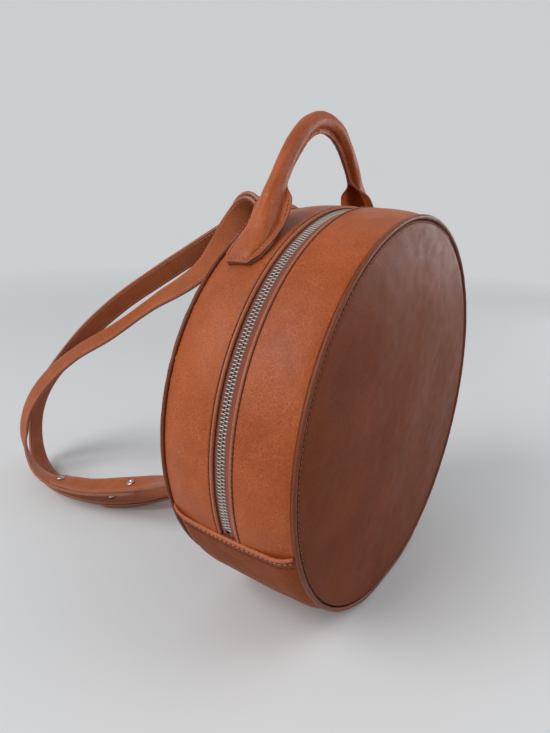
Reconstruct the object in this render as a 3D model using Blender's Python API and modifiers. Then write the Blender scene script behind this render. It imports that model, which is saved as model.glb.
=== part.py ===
"""Round leather backpack: a drum of two discs and a gusset, zipped round its upper part.

The bag stands on the flat of its base, at the origin. The front faces -Y, the straps hang
behind at +Y, and the drum's axis runs along Y. All sizes are in metres.
"""
import math

import bmesh
import bpy
from mathutils import Matrix, Vector

# Driving sizes of the bag
RADIUS = 0.150
DEPTH = 0.105
CROWN = 0.003
FLAT_WIDTH = 0.0532
FOLD_DROP = 0.0513
GAP = 0.0003

# Leather, boards and lining
LEATHER = 0.0018
BOARD = 0.0013
LINING = 0.0008
SHOULDER_DROP = 0.0045
SIDE_POWER = 3.2
BASE_POWER = 2.0
BASE_FLAT = 0.036
PANEL_CROWN = 0.0012
PANEL_ROLL = 0.0024

# Places across the side panels, the base and the lining's band, from the zip to the seam
SIDE_SHARES = (0, 0.4, 0.7, 0.88, 1)
BASE_SHARES = (-1, -0.9, -0.76, 0, 0.76, 0.9, 1)
LINING_SHARES = (0, 0.6, 1)
# Profile of a disc: share of its rim radius, share of its crown
CROWN_SHARES = ((0, 1), (0.62, 0.6))
# Turned edge of a disc: share of the roll inward from the rim, share of it below the face
ROLL_SHARES = ((1, 0), (0.3, 0.2), (0, 0.55))

BASE_BOARD_LENGTH = 0.080
BASE_BOARD_WIDTH = 0.050

# Piping and the rolled edge of the base
PIPING_RADIUS = 0.00175
PIPING_INSET = 0.0015
PIPING_BACK = 0.0006
EDGE_ROLL_RADIUS = 0.0016
EDGE_ROLL_REACH = 0.046
EDGE_ROLL_LIFT = 0.006

# Zip
ZIP_OPENING = 0.0144
TAPE_REACH = 0.0075
TAPE_THICK = 0.0006
CHAIN_WIDTH = 0.0068
TOOTH_PITCH = 0.0025
TOOTH_WIDTH = 0.00095
TOOTH_THICK = 0.0018
TOOTH_OVERLAP = 0.0008
SPINE_WIDTH = 0.0009
ZIP_END = 0.0012
STOP_LENGTH = 0.0022

# Slider and its pull
SLIDER_LENGTH = 0.0095
SLIDER_WIDTH = 0.0096
SLIDER_PLATE = 0.0010
SLIDER_FLANGE = 0.0008
SLIDER_POST = 0.0022
SLIDER_POST_WIDTH = 0.0020
BRIDGE_WIRE = 0.0011
BRIDGE_HEIGHT = 0.0036
BRIDGE_SPAN = 0.0062
BRIDGE_POWER = 0.6
BRIDGE_SUNK_SHARE = 0.33
PULL_LENGTH = 0.0240
PULL_WIDTH = 0.0070
PULL_NECK = 0.0046
PULL_THICK = 0.0014
PULL_BAR = 0.0011
PULL_EYE_LENGTH = 0.0040
PULL_EYE_WIDTH = 0.0024

# Handle
HANDLE_Y = 0.0290
HANDLE_RISE = 0.0605
HANDLE_HALF_SPAN = 0.0720
ROLL_RADIUS = 0.0060
ROLL_LEATHER = 0.0018
ROLL_SLIT = 0.0007
CORE_RADIUS = 0.0036
TAB_WIDTH = 0.0260
TAB_THICK = 0.0020
TAB_LENGTH = 0.0440
TAB_CHAMFER = 0.0060
TAB_ALONG_SHARES = (0.4, 0.7, 1)
TAB_ACROSS_SHARES = (0, 0.5, 0.85, 1)
TAB_TIP_ANGLE = math.radians(49.0)
FULL_ROLL = 180 - math.degrees(ROLL_SLIT / 2 / ROLL_RADIUS)
CORE_FROM = 120
# Rows of the dome on a tab: share of the tab's length, half-angle, share of its width, lift
DOME_SHARES = ((0.05, 14, 0.70, 0.0), (0.25, 30, 0.74, 0.0), (0.45, 55, 0.70, 0.0),
               (0.62, 85, 0.63, 0.04), (0.78, 125, 0.565, 0.15), (0.92, 170, 0.54, 0.35))
# Outer line of the grip: share of the half span, share of the rise above the tab's top
GRIP_SHARES = ((0.95, 0.28), (0.79, 0.477), (0.65, 0.65), (0.49, 0.807), (0.293, 0.933),
               (0.0, 1.0))

# Straps
STRAP_WIDTH = 0.0200
STRAP_THICK = 0.0032
STRAP_X = 0.0140
STRAP_INSET = 0.0112
STRAP_TAB_LENGTH = 0.0420
STRAP_REACH = 0.3082
STRAP_LIE = 0.0065
STUD_HEAD_RADIUS = 0.0042
STUD_HEAD_THICK = 0.0014
STUD_POST_RADIUS = 0.0019
STUD_HOLE_RADIUS = 0.0022
STUD_SPACING = 0.0900
STUD_SEAT = 0.0007
STUD_CROWN_SHARE = 0.7
STUD_EDGE_SHARE = 0.5
STRAP_END_PAST_STUD = 0.0120
REAR_STUD_SHARE = 0.697
# Corners of a strip's section, as shares of its half width and half thickness
STRIP_CORNERS = ((-1, -1), (0, -1), (1, -1), (1, 1), (0, 1), (-1, 1))
# Places of a strap's middle line, from its top seam: share of the drum's radius sideways,
# share of the strap's reach backwards, share of the drop, and the twist in degrees
STRAP_SHARES = {
    # Left strap
    -1: ((0, 0, 0, 0), (-0.004, 0.017, -0.004, 3), (-0.02, 0.046, -0.029, 12),
         (-0.033, 0.088, -0.047, 35), (-0.04, 0.147, 0.017, 75), (-0.047, 0.263, 0.162, 110),
         (-0.06, 0.452, 0.286, 133), (-0.133, 0.607, 0.406, 132), (-0.22, 0.75, 0.505, 128),
         (-0.307, 0.873, 0.625, 115), (-0.367, 0.955, 0.752, 109), (-0.42, 0.961, 0.872, 103),
         (-0.493, 0.857, 0.932, 130), (-0.553, 0.705, 0.93, 167), (-0.52, 0.552, 0.911, 188),
         (-0.447, 0.413, 0.874, 197), (-0.393, 0.293, 0.832, 188), (-0.48, 0.14, 0.756, 158),
         (-0.693, 0, 0.693, 112)),
    # Right strap: it leans over the middle and lies behind the left one
    1: ((0, 0, 0, 0), (-0.003, 0.017, -0.004, 1), (-0.013, 0.046, -0.029, 5),
         (-0.037, 0.088, -0.038, 12), (-0.073, 0.147, -0.008, 22), (-0.12, 0.257, 0.068, 38),
         (-0.147, 0.452, 0.192, 48), (-0.207, 0.604, 0.3, 44), (-0.273, 0.731, 0.413, 36),
         (-0.333, 0.844, 0.536, 22), (-0.367, 0.955, 0.664, 6), (-0.4, 1.019, 0.787, -8),
         (-0.44, 1.026, 0.915, -20), (-0.507, 0.961, 0.989, -18), (-0.593, 0.835, 1.002, -5),
         (-0.613, 0.698, 1.002, 0), (-0.507, 0.549, 1, 4), (-0.293, 0.406, 0.968, 18),
         (0.08, 0.225, 0.876, 36), (0.467, 0.069, 0.759, 58), (0.693, 0, 0.693, 68)),
}

# Pieces that move together
FRONT_PIECES = ("front_gusset", "front_panel", "front_board", "front_lining", "front_piping",
                "zip_tape_front", "zip_teeth_front", "zip_top_stop_front")
STRAP_PIECES = ("strap_upper_", "strap_lower_", "strap_top_tab_", "stud_post_rear_",
                "stud_cap_rear_", "stud_post_front_", "stud_cap_front_")

# Facets: counts, and the bend from which an edge is sharp
SHARP_ANGLE = math.radians(40)
SPINE_STEP = 5
TURN_STEPS = 54
PIPING_SIDES = 6
EDGE_STEPS = 8
BRIDGE_STEPS = 8
PULL_TIP_STEPS = 10
ROLL_SIDES = 7
STUD_SIDES = 10
HOLE_SIDES = 8
STRAP_STEPS = 38
HANDLE_STEPS = 32

LEATHER_COLOUR = (0.46, 0.13, 0.04, 1.0)
BOARD_COLOUR = (0.35, 0.30, 0.24, 1.0)
LINING_COLOUR = (0.36, 0.27, 0.18, 1.0)
TAPE_COLOUR = (0.20, 0.10, 0.08, 1.0)
NICKEL_COLOUR = (0.62, 0.60, 0.56, 1.0)
CORD_COLOUR = (0.70, 0.66, 0.58, 1.0)

HALF_DEPTH = DEPTH / 2
PRESS_SHARE = math.sqrt(1 - (FLAT_WIDTH / 2 / (RADIUS + CROWN)) ** 2)
AXIS_HEIGHT = (RADIUS + CROWN) * PRESS_SHARE
FOLD_ANGLE = math.asin(FOLD_DROP / RADIUS)
SEAM_Y = HALF_DEPTH - PIPING_BACK - PIPING_RADIUS - GAP
FOLD_Y = -(HALF_DEPTH - PIPING_BACK + PIPING_RADIUS + GAP)
TAPE_TOP = CROWN - LEATHER - GAP
TOOTH_TOP = TAPE_TOP - TAPE_THICK / 2 + TOOTH_THICK / 2
TOOTH_BOTTOM = TOOTH_TOP - TOOTH_THICK


def new_collection(name):
    group = bpy.data.collections.new(name)
    bpy.context.scene.collection.children.link(group)
    return group


def make_material(name, colour, roughness, metallic=0.0):
    made = bpy.data.materials.new(name)
    made.use_nodes = True
    shader = made.node_tree.nodes["Principled BSDF"]
    shader.inputs["Base Color"].default_value = colour
    shader.inputs["Roughness"].default_value = roughness
    shader.inputs["Metallic"].default_value = metallic
    return made


def place(name, bm, material, group):
    """Turn a bmesh into a named object of the bag, with its drum at standing height."""
    bmesh.ops.recalc_face_normals(bm, faces=bm.faces)
    bmesh.ops.translate(bm, verts=bm.verts, vec=(0, 0, AXIS_HEIGHT))
    mesh = bpy.data.meshes.new(name)
    bm.to_mesh(mesh)
    bm.free()
    mesh.shade_smooth()
    mesh.set_sharp_from_angle(angle=SHARP_ANGLE)
    made = bpy.data.objects.new(name, mesh)
    made.data.materials.append(material)
    group.objects.link(made)
    return made


def polar(offset, y, angle):
    """A point of the drum: offset outward from its radius, along its axis, round its turn."""
    return Vector(((RADIUS + offset) * math.cos(angle), y, (RADIUS + offset) * math.sin(angle)))


def press_flat(bm):
    """Press the underside flat, each layer to its own level, so the gaps between layers stay."""
    for vert in bm.verts:
        reach = math.hypot(vert.co.x, vert.co.z)
        vert.co.z = max(vert.co.z, -reach * PRESS_SHARE)


def fill_ends(bm):
    """Close every open loop with one flat face."""
    open_edges = [edge for edge in bm.edges if edge.is_boundary]
    if open_edges:
        bmesh.ops.holes_fill(bm, edges=open_edges, sides=0)


def spin_section(section, start, end):
    """Turn a closed section of (offset, y) points about the drum's axis."""
    bm = bmesh.new()
    full = abs(end - start) > math.tau - 0.001
    verts = [bm.verts.new(polar(offset, y, start)) for offset, y in section]
    edges = [bm.edges.new((a, b)) for a, b in zip(verts, verts[1:] + verts[:1])]
    steps = max(1, round(TURN_STEPS * abs(end - start) / math.tau))
    bmesh.ops.spin(bm, geom=verts + edges, cent=(0, 0, 0), axis=(0, -1, 0),
                   angle=end - start, steps=steps, use_merge=full)
    if not full:
        fill_ends(bm)
    return bm


def spin_disc(profile):
    """Turn an open profile of (radius, y) points, which starts and ends on the axis."""
    bm = bmesh.new()
    verts = [bm.verts.new((radius, y, 0)) for radius, y in profile]
    edges = [bm.edges.new((a, b)) for a, b in zip(verts, verts[1:])]
    bmesh.ops.spin(bm, geom=verts + edges, cent=(0, 0, 0), axis=(0, -1, 0),
                   angle=math.tau, steps=TURN_STEPS, use_merge=True)
    bmesh.ops.remove_doubles(bm, verts=bm.verts, dist=GAP / 10)
    return bm


def cut_at_fold(bm, upper):
    """Keep the part above or below the front's fold line, half a gap away from it."""
    side = 1 if upper else -1
    level = -FOLD_DROP + side * GAP / 2
    bmesh.ops.bisect_plane(bm, geom=bm.verts[:] + bm.edges[:] + bm.faces[:], dist=GAP / 100,
                           plane_co=(0, 0, level), plane_no=(0, 0, side), clear_inner=True)
    fill_ends(bm)
    return bm


def loft(sections, twisted=False):
    """Join equal rings of points into one closed body.

    A twisted strip has each of its faces split along the same diagonal on both of its sides,
    so that two strips laid on each other keep their gap.
    """
    bm = bmesh.new()
    rings = [[bm.verts.new(point) for point in ring] for ring in sections]
    count = len(rings[0])
    for ring, after in zip(rings, rings[1:]):
        for i in range(count):
            j = (i + 1) % count
            if not twisted:
                bm.faces.new((ring[i], ring[j], after[j], after[i]))
            elif i < count // 2:
                bm.faces.new((ring[i], ring[j], after[j]))
                bm.faces.new((ring[i], after[j], after[i]))
            else:
                bm.faces.new((ring[i], ring[j], after[i]))
                bm.faces.new((ring[j], after[j], after[i]))
    bm.faces.new(rings[0])
    bm.faces.new(reversed(rings[-1]))
    return bm


def shoulder(y, flat, power):
    """Offset of the gusset's outer face at a place across its width."""
    share = max(0.0, (abs(y) - flat) / (SEAM_Y - flat))
    return CROWN - SHOULDER_DROP * share ** power


def side_outer(y):
    return shoulder(y, ZIP_OPENING / 2, SIDE_POWER)


def base_outer(y):
    return shoulder(y, BASE_FLAT, BASE_POWER)


def layer(outer, places, top, thick):
    """A closed section that follows an outer face: top below it, then thick below that."""
    upper = [(outer(y) - top, y) for y in places]
    lower = [(outer(y) - top - thick, y) for y in reversed(places)]
    return upper + lower


def spread(start, end, shares):
    return [start + (end - start) * share for share in shares]


def build_gussets(group, leather):
    """Two curved bands beside the zip, and the full-width band of the base."""
    clear = GAP / 2 / RADIUS
    places = spread(ZIP_OPENING / 2, SEAM_Y, SIDE_SHARES)
    for name, side in (("back_gusset", 1), ("front_gusset", -1)):
        section = layer(side_outer, [side * y for y in places], 0, LEATHER)
        bm = spin_section(section, -FOLD_ANGLE + clear, math.pi + FOLD_ANGLE - clear)
        press_flat(bm)
        place(name, bm, leather, group)
    section = layer(base_outer, [SEAM_Y * share for share in BASE_SHARES], 0, LEATHER)
    bm = spin_section(section, math.pi + FOLD_ANGLE + clear, math.tau - FOLD_ANGLE - clear)
    press_flat(bm)
    place("base_gusset", bm, leather, group)


def base_edge_rings(side):
    """Rings along the rolled edge of the base, which lifts a little towards its two ends."""
    rings = []
    for step in range(-EDGE_STEPS, EDGE_STEPS + 1):
        y = EDGE_ROLL_REACH * step / EDGE_STEPS
        lift = EDGE_ROLL_LIFT / RADIUS * (step / EDGE_STEPS) ** 2
        angle = -FOLD_ANGLE - EDGE_ROLL_RADIUS / 2 / RADIUS + lift
        over = max(side_outer(y), base_outer(y)) + GAP + EDGE_ROLL_RADIUS
        ring = []
        for turn in range(PIPING_SIDES):
            a = math.tau * turn / PIPING_SIDES
            offset = over + EDGE_ROLL_RADIUS * math.cos(a)
            ring.append(polar(offset, y, angle + EDGE_ROLL_RADIUS * math.sin(a) / RADIUS))
        rings.append([Vector((side * p.x, p.y, p.z)) for p in ring])
    return rings


def build_base_edges(group, leather):
    for name, side in (("base_edge_left", -1), ("base_edge_right", 1)):
        place(name, loft(base_edge_rings(side)), leather, group)


def panel_profile(side):
    """Profile of a disc of the body, from its outer middle round its edge to its inner middle."""
    rim = RADIUS - PIPING_INSET - PIPING_RADIUS - GAP
    inner = HALF_DEPTH - LEATHER
    points = [(rim * out, HALF_DEPTH + PANEL_CROWN * up) for out, up in CROWN_SHARES]
    points += [(rim - PANEL_ROLL * back, HALF_DEPTH - PANEL_ROLL * down)
               for back, down in ROLL_SHARES]
    points += [(rim - PANEL_ROLL * 2, inner), (0, inner)]
    return [(radius, side * y) for radius, y in points]


def board_profile(side):
    outer = HALF_DEPTH - LEATHER - GAP
    rim = RADIUS - SHOULDER_DROP - LEATHER * 2
    points = [(0, outer), (rim, outer), (rim, outer - BOARD), (0, outer - BOARD)]
    return [(radius, side * y) for radius, y in points]


def lining_profile(side):
    """A cup: the disc's lining and the lining of the band beside it."""
    face = HALF_DEPTH - LEATHER - BOARD - GAP * 2
    rim_y = ZIP_OPENING / 2 + TAPE_REACH + GAP
    places = spread(rim_y, face, LINING_SHARES)
    drop = LEATHER + GAP
    outer = [(RADIUS + side_outer(y) - drop, y) for y in reversed(places)]
    inner = [(RADIUS + side_outer(y) - drop - LINING, y) for y in places]
    inner[-1] = (inner[-1][0], face - LINING)
    points = [(0, face)] + outer + inner + [(0, face - LINING)]
    return [(radius, side * y) for radius, y in points]


def build_faces(group, leather, board, lining):
    """Discs, stiffening boards and linings. Those of the front part at its fold line."""
    kinds = (("panel", panel_profile, leather), ("board", board_profile, board),
             ("lining", lining_profile, lining))
    for kind, profile, material in kinds:
        bm = spin_disc(profile(1))
        press_flat(bm)
        place("back_" + kind, bm, material, group)
        for name, upper in (("front_" + kind, True), ("front_" + kind + "_lower", False)):
            bm = spin_disc(profile(-1))
            press_flat(bm)
            place(name, cut_at_fold(bm, upper), material, group)


def piping_section(side):
    section = []
    for turn in range(PIPING_SIDES):
        a = math.tau * turn / PIPING_SIDES
        offset = -PIPING_INSET + PIPING_RADIUS * math.cos(a)
        section.append((offset, side * (HALF_DEPTH - PIPING_BACK + PIPING_RADIUS * math.sin(a))))
    return section


def build_piping(group, leather):
    bm = spin_section(piping_section(1), 0, math.tau)
    press_flat(bm)
    place("back_piping", bm, leather, group)
    for name, upper in (("front_piping", True), ("front_piping_lower", False)):
        bm = spin_section(piping_section(-1), 0, math.tau)
        press_flat(bm)
        place(name, cut_at_fold(bm, upper), leather, group)


def build_base_board(group, board):
    """A stiff plate in the base, whose two ends rest on the linings' shoulders."""
    lining_top = side_outer(BASE_BOARD_LENGTH / 2 + BOARD) - LEATHER - GAP - LINING
    bottom = -(RADIUS + lining_top) * PRESS_SHARE + GAP
    bm = bmesh.new()
    bmesh.ops.create_cube(bm, size=1)
    bmesh.ops.scale(bm, vec=(BASE_BOARD_WIDTH, BASE_BOARD_LENGTH, BOARD), verts=bm.verts)
    bmesh.ops.translate(bm, vec=(0, 0, bottom + BOARD / 2), verts=bm.verts)
    place("base_board", bm, board, group)


def comb(side, start, teeth):
    """One row of teeth, joined along its root by a spine.

    Each tooth narrows from its root towards its tip, which reaches past the middle of the
    chain, and the next tooth's root begins where it ends.
    """
    pitch = TOOTH_PITCH / RADIUS
    back = side * CHAIN_WIDTH / 2
    root = side * (CHAIN_WIDTH / 2 - SPINE_WIDTH)
    tip = -side * TOOTH_OVERLAP / 2
    half = TOOTH_WIDTH / 2 / RADIUS
    bm = bmesh.new()

    def pair(y, angle):
        return [bm.verts.new(polar(level, y, angle)) for level in (TOOTH_TOP, TOOTH_BOTTOM)]

    def skin(points):
        """Close the same outline on the upper and on the lower face."""
        bm.faces.new([point[0] for point in points])
        bm.faces.new([point[1] for point in points])

    def wall(a, b):
        bm.faces.new((a[0], b[0], b[1], a[1]))

    roots = [pair(root, start + pitch * i) for i in range(teeth + 1)]
    backs = [pair(back, start + pitch * i) for i in range(0, teeth + 1, SPINE_STEP)]
    for i in range(teeth):
        middle = start + pitch * (i + 0.5)
        left, right = pair(tip, middle - half), pair(tip, middle + half)
        skin((roots[i], left, right, roots[i + 1]))
        wall(roots[i], left)
        wall(left, right)
        wall(right, roots[i + 1])
    for i, (a, b) in enumerate(zip(backs, backs[1:])):
        span = roots[i * SPINE_STEP:(i + 1) * SPINE_STEP + 1]
        skin([b, a] + span)
        wall(a, b)
    wall(roots[0], backs[0])
    wall(roots[-1], backs[-1])
    return bm


def build_teeth(group, metal):
    """Two rows of teeth that mesh in each other's gaps along the whole zip."""
    pitch = TOOTH_PITCH / RADIUS
    start = slider_rest_angle() - (SLIDER_LENGTH / 2 - SLIDER_POST - GAP) / RADIUS
    end = math.pi + FOLD_ANGLE - (ZIP_END + STOP_LENGTH + GAP) / RADIUS
    teeth = int(((end - start) / pitch - 0.5) / SPINE_STEP) * SPINE_STEP
    for name, side, shift in (("zip_teeth_back", 1, 0), ("zip_teeth_front", -1, pitch / 2)):
        place(name, comb(side, start + shift, teeth), metal, group)


def build_tapes(group, tape):
    inner = CHAIN_WIDTH / 2 + GAP
    outer = ZIP_OPENING / 2 + TAPE_REACH
    clear = GAP / 2 / RADIUS
    for name, side in (("zip_tape_back", 1), ("zip_tape_front", -1)):
        section = [(TAPE_TOP, side * inner), (TAPE_TOP, side * outer),
                   (TAPE_TOP - TAPE_THICK, side * outer), (TAPE_TOP - TAPE_THICK, side * inner)]
        place(name, spin_section(section, -FOLD_ANGLE + clear, math.pi + FOLD_ANGLE - clear),
              tape, group)


def build_stops(group, metal):
    """Stops that end the slider's travel: one on each tape above, one across both below."""
    half = CHAIN_WIDTH / 2
    far = -FOLD_ANGLE + ZIP_END / RADIUS
    near = math.pi + FOLD_ANGLE - ZIP_END / RADIUS
    length = STOP_LENGTH / RADIUS
    spans = (("zip_top_stop_back", GAP, half, far), ("zip_top_stop_front", -half, -GAP, far),
             ("zip_bottom_stop", -half, half, near - length))
    for name, low, high, start in spans:
        section = [(TOOTH_TOP, low), (TOOTH_TOP, high), (TOOTH_BOTTOM, high), (TOOTH_BOTTOM, low)]
        place(name, spin_section(section, start, start + length), metal, group)


def add_box(bm, size, centre):
    made = bmesh.ops.create_cube(bm, size=1)
    bmesh.ops.scale(bm, vec=size, verts=made["verts"])
    bmesh.ops.translate(bm, vec=centre, verts=made["verts"])
    return made["verts"]


def box_object(name, size, centre, group):
    bm = bmesh.new()
    add_box(bm, size, centre)
    mesh = bpy.data.meshes.new(name)
    bm.to_mesh(mesh)
    bm.free()
    made = bpy.data.objects.new(name, mesh)
    group.objects.link(made)
    made.hide_render = True
    made.display_type = "WIRE"
    return made


def combine(target, other, operation):
    modifier = target.modifiers.new(operation.lower(), "BOOLEAN")
    modifier.operation = operation
    modifier.object = other
    modifier.solver = "EXACT"


def slider_frame(angle):
    """Local frame on the chain: X along it towards closing, Y across, Z outward."""
    along = Vector((math.sin(angle), 0, -math.cos(angle)))
    out = Vector((math.cos(angle), 0, math.sin(angle)))
    across = out.cross(along)
    origin = polar(TOOTH_TOP - TOOTH_THICK / 2, 0, angle) + Vector((0, 0, AXIS_HEIGHT))
    frame = Matrix((along, across, out)).transposed().to_4x4()
    frame.translation = origin
    return frame


def bridge_curve(base):
    """The arch over the slider that carries the pull."""
    curve = bpy.data.curves.new("bridge", "CURVE")
    curve.dimensions = "3D"
    curve.bevel_depth = BRIDGE_WIRE / 2
    curve.bevel_resolution = 1
    curve.use_fill_caps = True
    spline = curve.splines.new("POLY")
    spline.points.add(BRIDGE_STEPS)
    rise = BRIDGE_HEIGHT - BRIDGE_WIRE / 2
    for i in range(BRIDGE_STEPS + 1):
        turn = math.pi * i / BRIDGE_STEPS
        x = -BRIDGE_SPAN / 2 * math.cos(turn)
        sunk = BRIDGE_WIRE * BRIDGE_SUNK_SHARE if i in (0, BRIDGE_STEPS) else 0
        z = base + rise * math.sin(turn) ** BRIDGE_POWER - sunk
        spline.points[i].co = (x, 0, z, 1)
    return curve


def curve_to_object(name, curve, group):
    """A closed mesh object from a curve, its caps welded."""
    source = bpy.data.objects.new(name + "_curve", curve)
    group.objects.link(source)
    graph = bpy.context.evaluated_depsgraph_get()
    mesh = bpy.data.meshes.new_from_object(source.evaluated_get(graph))
    bm = bmesh.new()
    bm.from_mesh(mesh)
    bmesh.ops.remove_doubles(bm, verts=bm.verts, dist=GAP / 30)
    bm.to_mesh(mesh)
    bm.free()
    bpy.data.objects.remove(source)
    made = bpy.data.objects.new(name, mesh)
    group.objects.link(made)
    return made


def slider_rest_angle():
    return -FOLD_ANGLE + (ZIP_END + STOP_LENGTH + GAP + SLIDER_LENGTH / 2) / RADIUS


def build_slider(group, cutters, metal):
    """Two plates with side flanges, a post between the rows at the closing end, and the arch."""
    lift = TOOTH_THICK / 2 + GAP
    frame = slider_frame(slider_rest_angle())
    body = box_object("zip_slider", (SLIDER_LENGTH, SLIDER_WIDTH, SLIDER_PLATE),
                      (0, 0, lift + SLIDER_PLATE / 2), group)
    body.hide_render = False
    body.display_type = "TEXTURED"
    flange_y = SLIDER_WIDTH / 2 - SLIDER_FLANGE / 2
    flange_z = TAPE_THICK / 2 + GAP
    pieces = [("slider_lower_plate", (SLIDER_LENGTH, SLIDER_WIDTH, SLIDER_PLATE),
               (0, 0, -lift - SLIDER_PLATE / 2)),
              ("slider_post", (SLIDER_POST, SLIDER_POST_WIDTH, (lift + SLIDER_PLATE / 2) * 2),
               (SLIDER_LENGTH / 2 - SLIDER_POST / 2, 0, 0))]
    for side in (-1, 1):
        for level in (-1, 1):
            height = lift - flange_z + SLIDER_PLATE / 2
            pieces.append(("slider_flange_%d_%d" % (side + 1, level + 1),
                           (SLIDER_LENGTH, SLIDER_FLANGE, height),
                           (0, side * flange_y, level * (flange_z + height / 2))))
    for name, size, centre in pieces:
        combine(body, box_object(name, size, centre, cutters), "UNION")
    arch = curve_to_object("slider_bridge", bridge_curve(lift + SLIDER_PLATE), cutters)
    arch.hide_render = True
    arch.display_type = "WIRE"
    combine(body, arch, "UNION")
    bevel = body.modifiers.new("soft edges", "BEVEL")
    bevel.width = SLIDER_PLATE / 5
    bevel.segments = 1
    bevel.limit_method = "ANGLE"
    bevel.angle_limit = SHARP_ANGLE
    bpy.context.view_layer.update()
    graph = bpy.context.evaluated_depsgraph_get()
    mesh = bpy.data.meshes.new_from_object(body.evaluated_get(graph))
    body.modifiers.clear()
    body.data = mesh
    body.matrix_world = frame
    body.data.materials.clear()
    body.data.materials.append(metal)


def pull_pivot():
    """Where the pull hangs in the arch, in the bag's frame."""
    lift = TOOTH_THICK / 2 + GAP + SLIDER_PLATE
    inside = BRIDGE_HEIGHT - BRIDGE_WIRE - PULL_BAR / 2 - GAP
    return slider_frame(slider_rest_angle()) @ Vector((0, 0, lift + inside))


def pull_outline():
    """Outline of the pull, eye end at the pivot and tag end below, as (x, y) points."""
    top = PULL_BAR / 2
    neck_y = PULL_NECK / 2
    tag_y = PULL_WIDTH / 2
    shoulder_x = PULL_EYE_LENGTH + PULL_BAR
    end = PULL_LENGTH
    side = [(-top, neck_y), (shoulder_x, neck_y), (shoulder_x + PULL_BAR * 2, tag_y)]
    tip = [(end - tag_y + tag_y * math.sin(a), tag_y * math.cos(a))
           for a in (math.pi * i / PULL_TIP_STEPS for i in range(PULL_TIP_STEPS + 1))]
    return side + tip + [(x, -y) for x, y in reversed(side)]


def pull_eye():
    half = PULL_EYE_WIDTH / 2
    near = PULL_BAR / 2
    return [(near, half), (near, -half), (near + PULL_EYE_LENGTH, -half),
            (near + PULL_EYE_LENGTH, half)]


def build_pull(group, metal):
    curve = bpy.data.curves.new("pull outline", "CURVE")
    curve.dimensions = "2D"
    curve.fill_mode = "BOTH"
    curve.extrude = PULL_THICK / 2
    for points in (pull_outline(), pull_eye()):
        spline = curve.splines.new("POLY")
        spline.points.add(len(points) - 1)
        spline.use_cyclic_u = True
        for i, (x, y) in enumerate(points):
            spline.points[i].co = (x, y, 0, 1)
    pull = curve_to_object("zip_pull", curve, group)
    down = Vector((0, 0, -1))
    across = Vector((0, 1, 0))
    frame = Matrix((down, across, down.cross(across))).transposed().to_4x4()
    frame.translation = pull_pivot()
    pull.matrix_world = frame
    pull.data.materials.append(metal)


def catmull(points, steps):
    """A smooth curve through a list of number tuples, as steps + 1 tuples."""
    ends = [tuple(2 * a - b for a, b in zip(points[0], points[1]))]
    ends += list(points)
    ends.append(tuple(2 * a - b for a, b in zip(points[-1], points[-2])))
    spans = len(points) - 1
    made = []
    for step in range(steps + 1):
        at = min(step * spans / steps, spans - 1e-9)
        i = int(at)
        t = at - i
        p0, p1, p2, p3 = ends[i:i + 4]
        made.append(tuple(
            0.5 * (2 * b + (c - a) * t + (2 * a - 5 * b + 4 * c - d) * t * t
                   + (3 * b - a - 3 * c + d) * t * t * t)
            for a, b, c, d in zip(p0, p1, p2, p3)))
    return made


def section_depth(opening, outer):
    """How far the bent leather reaches below its outer line."""
    turn = math.radians(opening)
    return outer * (1 - math.cos(turn)) + ROLL_LEATHER * max(0.0, math.cos(turn))


def handle_top_line():
    """Half of the handle's outer line, from the tab's tip up to the middle of the grip.

    Each row holds x, z, the section's half-angle in degrees and its outer radius. On the tab
    the leather opens from a full roll to a shallow dome that rests on the tab.
    """
    surface = RADIUS + side_outer(HANDLE_Y - TAB_WIDTH / 2) + TAB_THICK + GAP * 2
    length = TAB_LENGTH / RADIUS
    rows = []
    for along_share, opening, width_share, lift in DOME_SHARES:
        outer = TAB_WIDTH * width_share / 2 / math.sin(math.radians(min(opening, 90)))
        angle = TAB_TIP_ANGLE + length * along_share
        reach = surface + section_depth(opening, outer) + ROLL_RADIUS * lift
        rows.append((reach * math.cos(angle), reach * math.sin(angle), opening, outer))
    crest = RADIUS + CROWN + HANDLE_RISE + ROLL_RADIUS
    foot = surface * math.sin(TAB_TIP_ANGLE + length)
    for out_share, up_share in GRIP_SHARES:
        rows.append((HANDLE_HALF_SPAN * out_share, foot + (crest - foot) * up_share,
                     FULL_ROLL, ROLL_RADIUS))
    return rows


def handle_stations():
    """Stations along the whole handle: place on the outer line, opening and radius."""
    half = handle_top_line()
    whole = half + [(-x, z, opening, outer) for x, z, opening, outer in reversed(half[:-1])]
    return catmull(whole, HANDLE_STEPS)


def handle_frames():
    """For each station its place, the direction into the roll and the section's values."""
    stations = handle_stations()
    places = [Vector((x, HANDLE_Y, z)) for x, z, opening, outer in stations]
    rows = []
    for i, place_now in enumerate(places):
        before = places[max(0, i - 1)]
        after = places[min(len(places) - 1, i + 1)]
        along = (after - before).normalized()
        inward = along.cross(Vector((0, 1, 0)))
        if inward.dot(Vector((0, 0, AXIS_HEIGHT)) - place_now) < 0:
            inward.negate()
        rows.append((place_now, inward, stations[i][2], stations[i][3]))
    return rows


def handle_section(spot, inward, opening, outer):
    """A strip of leather bent round the core: a near full circle on the grip, flat on the tab."""
    half = math.radians(min(opening, FULL_ROLL))
    centre = spot + inward * outer
    ring = []
    turns = range(-ROLL_SIDES, ROLL_SIDES + 1, 2)
    for radius, order in ((outer, turns), (outer - ROLL_LEATHER, reversed(turns))):
        for turn in order:
            a = half * turn / ROLL_SIDES
            ring.append(centre - inward * radius * math.cos(a)
                        + Vector((0, radius * math.sin(a), 0)))
    return ring


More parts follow.
